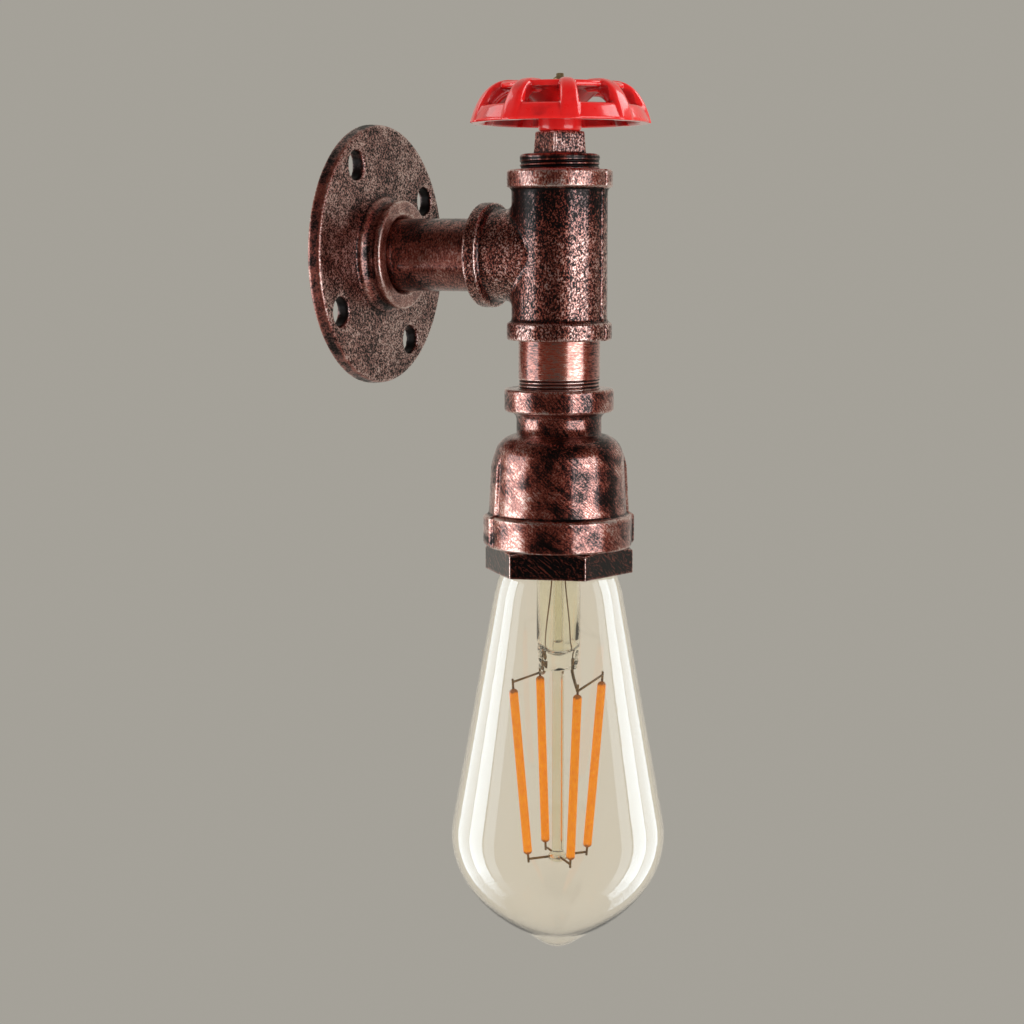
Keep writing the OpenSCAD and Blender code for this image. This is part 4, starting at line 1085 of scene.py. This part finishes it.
def makeRod(s):
    r, half, low, top = s["radius"], s["beadHalf"], s["low"], s["top"]
    bead = [(s["bead"]*math.sin(a), low - half*math.cos(a)) for a in (math.pi*k/20 for k in range(1, 17))]
    outline = [(0, low - half)] + bead
    outline += [(r, low + half*1.15), (r, low + half*1.6), (r, top - 0.4*mm), (r, top), (0, top)]
    return lathe("stemRod", outline, stackPlace, 48)


filament = dict(sizes(
    radius=1.3, topZ=-127.6, high=51.2, topOut=14.4, footOut=9.7, wire=0.35, lead=0.48, thin=0.22, pin=3.0,
    rootOut=4.3), turn=47.0, count=4)
glowingPhosphor = phosphorFinish("glowingPhosphor", filament["topZ"] - filament["high"]/2, filament["high"]/2)


def filamentPoint(index, up):
    # a point on filament index's own line, up from its top end
    s = filament
    top = around(s["topOut"], s["turn"] + 90*index, s["topZ"])
    foot = around(s["footOut"], s["turn"] + 90*index, s["topZ"] - s["high"])
    return top + (top - foot).normalized()*up


def makeFilaments(s):
    stick = Vector((s["topOut"] - s["footOut"], 0, s["high"]))
    r = s["radius"]
    end = [(r*math.sin(a), r*0.9*(1 - math.cos(a))) for a in (math.pi/2*k/8 for k in range(9))]
    outline = end + [(wide, stick.length - high) for wide, high in reversed(end)]
    lean = stick.to_track_quat("Z", "Y").to_matrix().to_4x4()
    place = Matrix.Translation((s["footOut"], 0, s["topZ"] - s["high"])) @ lean
    return ringCopies(lathe("filaments", outline, place, 24), s["count"], s["turn"], glowingPhosphor, stackPlace)


def makeUpperLeads(s):
    leads, pins, thin = [], [], []
    pinch = stem["pinchTop"]
    for index in (0, 2):
        side = s["turn"] + 90*(index + 1)
        root = around(s["rootOut"], side, rod["top"])
        thin.append(bezier(
            root + Vector((0, 0, 2.5*mm)), around(4.4*mm, side, pinch + 8*mm),
            around(3.0*mm, side + 20, pinch + 14*mm), around(3.4*mm, side + 35, tube["top"] - 16*mm)))
        bend = root - Vector((0, 0, 1.5*mm))
        leads.append(bezier(root + Vector((0, 0, 3*mm)), root, bend, filamentPoint(index, 1*mm), 14))
        pins.append([filamentPoint(index, -0.2*mm), filamentPoint(index, s["pin"])])
        pins.append([filamentPoint(index, 1*mm), filamentPoint(index + 1, 2*mm)])
        pins.append([filamentPoint(index + 1, -0.2*mm), filamentPoint(index + 1, s["pin"])])
    return joined("upperLeads", [
        wireTube("leads", leads, s["lead"], stackPlace), wireTube("pins", pins, s["wire"], stackPlace),
        wireTube("thinLeads", thin, s["thin"], stackPlace)])


def makeLowerLinks(s):
    paths = []
    stick = math.hypot(s["topOut"] - s["footOut"], s["high"])
    for index in range(s["count"]):
        knee = filamentPoint(index, -s["high"] - 1.6*mm)
        paths.append([around(2.6*mm, s["turn"] + 90*index, knee.z), knee])
        paths.append([filamentPoint(index, -s["high"] - 2.6*mm), filamentPoint(index, -stick + 0.3*mm)])
    return wireTube("lowerLinks", paths, s["wire"], stackPlace)


lampGlass = dress(makeGlass(lamp), lampClear, "lamp", "lamp_glass", "lamp_glass")
dress(makeCap(cap), capNickel, "lamp", "cap_metal", "lamp_cap")
dress(makeStem(stem), stemClear, "lamp", "stem_glass", "glass_stem")
dress(makeTube(tube), stemClear, "lamp", "stem_glass", "exhaust_tube")
dress(makeRod(rod), rodGlass, "lamp", "stem_glass", "stem_rod")
sticks = ["filament_" + str(index + 1) for index in range(filament["count"])]
dress(makeFilaments(filament), glowingPhosphor, "lamp", "filament", *sticks)
dress(makeUpperLeads(filament), lampWire, "lamp", "lamp_wire", "upper_leads")
dress(makeLowerLinks(filament), lampWire, "lamp", "lamp_wire", "lower_links")
print("lamp done")


# inner pieces that keep their CAD shape

innerFinishes = {
    "lampholder_body": holderCeramic, "lampholder_shell": shellBrass, "contact_tongue": shellBrass,
    "live_terminal": shellBrass, "neutral_terminal": shellBrass, "terminal_screws": screwSteel,
    "live_lead": leadBrown, "neutral_lead": leadBlue, "connector_block": blockPlastic,
    "connector_tubes": shellBrass, "connector_screws": screwSteel, "cap_insulator": insulatorBlack,
    "cap_contact": contactSolder, "driver_board": boardGreen}
for node, finish in innerFinishes.items():
    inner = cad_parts[node]
    inner.data.materials.clear()
    inner.data.materials.append(finish)
print("inner pieces dressed")


# camera, floor and light

view = dict(place=(-0.5559, -0.3101, 0.0038), turn=(82.582, 0, -64.646), lens=72.88, sensor=36)
studio = dict(floorZ=-0.60, floorFade=(0.18, 0.62), floorPale=(0.43, 0.41, 0.364),
              backdrop=(0.375, 0.357, 0.317), lampBack=(0.648, 0.586, 0.475), ambient=0.48,
              ambientTint=(1, 0.98, 0.95), roomDark=0.03, wallPale=1.25, wallSide=(0.91, 0.41, 0.0))

# turn is in degrees from the camera's side, middle is the height of the panel's middle, in metres
lights = [
    dict(name="leftPanel", turn=-82, middle=-0.17, away=0.80, wide=0.60, high=0.76, power=3.5),
    dict(name="rightPanel", turn=47, middle=-0.15, away=0.80, wide=0.70, high=0.76, power=4.35),
    dict(name="leftGleam", turn=-105, middle=0.72, away=0.80, wide=0.50, high=0.5, power=1.4, only="enamel"),
    dict(name="rightGleam", turn=98, middle=0.72, away=0.80, wide=0.80, high=0.5, power=4.0, only="enamel")]
glassPanel = dict(middle=-0.42, high=1.9, colour=(0.76, 0.885, 1), only="glass")
for part, turn, away, wide, power in (
        ("Strip", 97, 0.80, 0.30, 15.1), ("Edge", 121, 0.80, 0.36, 7.7), ("Soft", 77, 0.82, 0.20, 3.15)):
    for side, way in (("left", -1), ("right", 1)):
        lights.append(dict(glassPanel, name=side + part, turn=way*turn, away=away, wide=wide, power=power))


def makeCamera(s):
    data = bpy.data.cameras.new("viewCamera")
    data.lens = s["lens"]
    data.sensor_width = s["sensor"]
    camera = bpy.data.objects.new("viewCamera", data)
    camera.location = s["place"]
    camera.rotation_euler = [math.radians(part) for part in s["turn"]]
    bpy.context.scene.collection.objects.link(camera)
    bpy.context.scene.camera = camera
    return camera


def makeFloor(s):
    bm = bmesh.new()
    bmesh.ops.create_circle(bm, cap_ends=True, segments=96, radius=3.0)
    floor = fromBmesh("floor", bm)
    floor.location.z = s["floorZ"]
    finish, tree = newFinish("floorPale")
    where = addNode(tree, "ShaderNodeTexCoord").outputs["Object"]
    far = addNode(tree, "ShaderNodeVectorMath", {0: where}, operation="LENGTH").outputs["Value"]
    floor.data.materials.append(surface(finish, {
        "Base Color": (*s["floorPale"], 1), "Roughness": 0.9,
        "Alpha": band(tree, far, *s["floorFade"], 1.0, 0.0)}))


def makeWorld(s):
    # what mirrors see is pale on the wall's side and dark on the room's side
    world = bpy.data.worlds.new("studio")
    bpy.context.scene.world = world
    world.use_nodes = True
    tree = world.node_tree
    tree.nodes.clear()
    rays = addNode(tree, "ShaderNodeLightPath").outputs

    def glow(colour, strength=1.0):
        return addNode(tree, "ShaderNodeBackground", {
            "Color": (*colour, 1), "Strength": strength}).outputs[0]

    def pick(ray, others, seen):
        return addNode(tree, "ShaderNodeMixShader", {0: rays[ray], 1: others, 2: seen}).outputs[0]

    way = addNode(tree, "ShaderNodeTexCoord").outputs["Generated"]
    side = addNode(tree, "ShaderNodeVectorMath", {
        0: way, 1: s["wallSide"]}, operation="DOT_PRODUCT").outputs["Value"]
    room = glow(s["backdrop"], band(tree, side, -0.1, 0.6, s["roomDark"], s["wallPale"]))
    mirrored = pick("Is Glossy Ray", glow(s["ambientTint"], s["ambient"]), room)
    through = pick("Is Transmission Ray", mirrored, glow(s["lampBack"]))
    addNode(tree, "ShaderNodeOutputWorld", {"Surface": pick("Is Camera Ray", through, glow(s["backdrop"]))})


def makeLights(camera, glass, enamelled):
    # glass and enamel have panels of their own, the large panels light all but the glass
    reach = {}
    for key, piece in (("glass", glass), ("enamel", enamelled), ("rest", glass)):
        reach[key] = bpy.data.collections.new(key)
        reach[key].objects.link(piece)
    for entry in reach["rest"].collection_objects:
        entry.light_linking.link_state = "EXCLUDE"
    back = math.atan2(camera.location.y - stackY, camera.location.x)
    for s in lights:
        data = bpy.data.lights.new(s["name"], "AREA")
        data.shape = "RECTANGLE"
        data.size = s["wide"]
        data.size_y = s["high"]
        data.energy = s["power"]
        data.color = s.get("colour", (1, 1, 1))
        light = bpy.data.objects.new(s["name"], data)
        away = Matrix.Rotation(back + math.radians(s["turn"]), 3, "Z") @ Vector((s["away"], 0, 0))
        light.location = away + Vector((0, stackY, s["middle"]))
        light.rotation_euler = away.to_track_quat("Z", "Y").to_euler()
        light.visible_camera = False
        light.visible_transmission = False
        bpy.context.scene.collection.objects.link(light)
        light.light_linking.receiver_collection = reach[s.get("only", "rest")]


camera = makeCamera(view)
makeFloor(studio)
makeWorld(studio)
makeLights(camera, lampGlass, handwheel)
bpy.context.scene.view_settings.view_transform = "Standard"
print("camera, floor and light done")
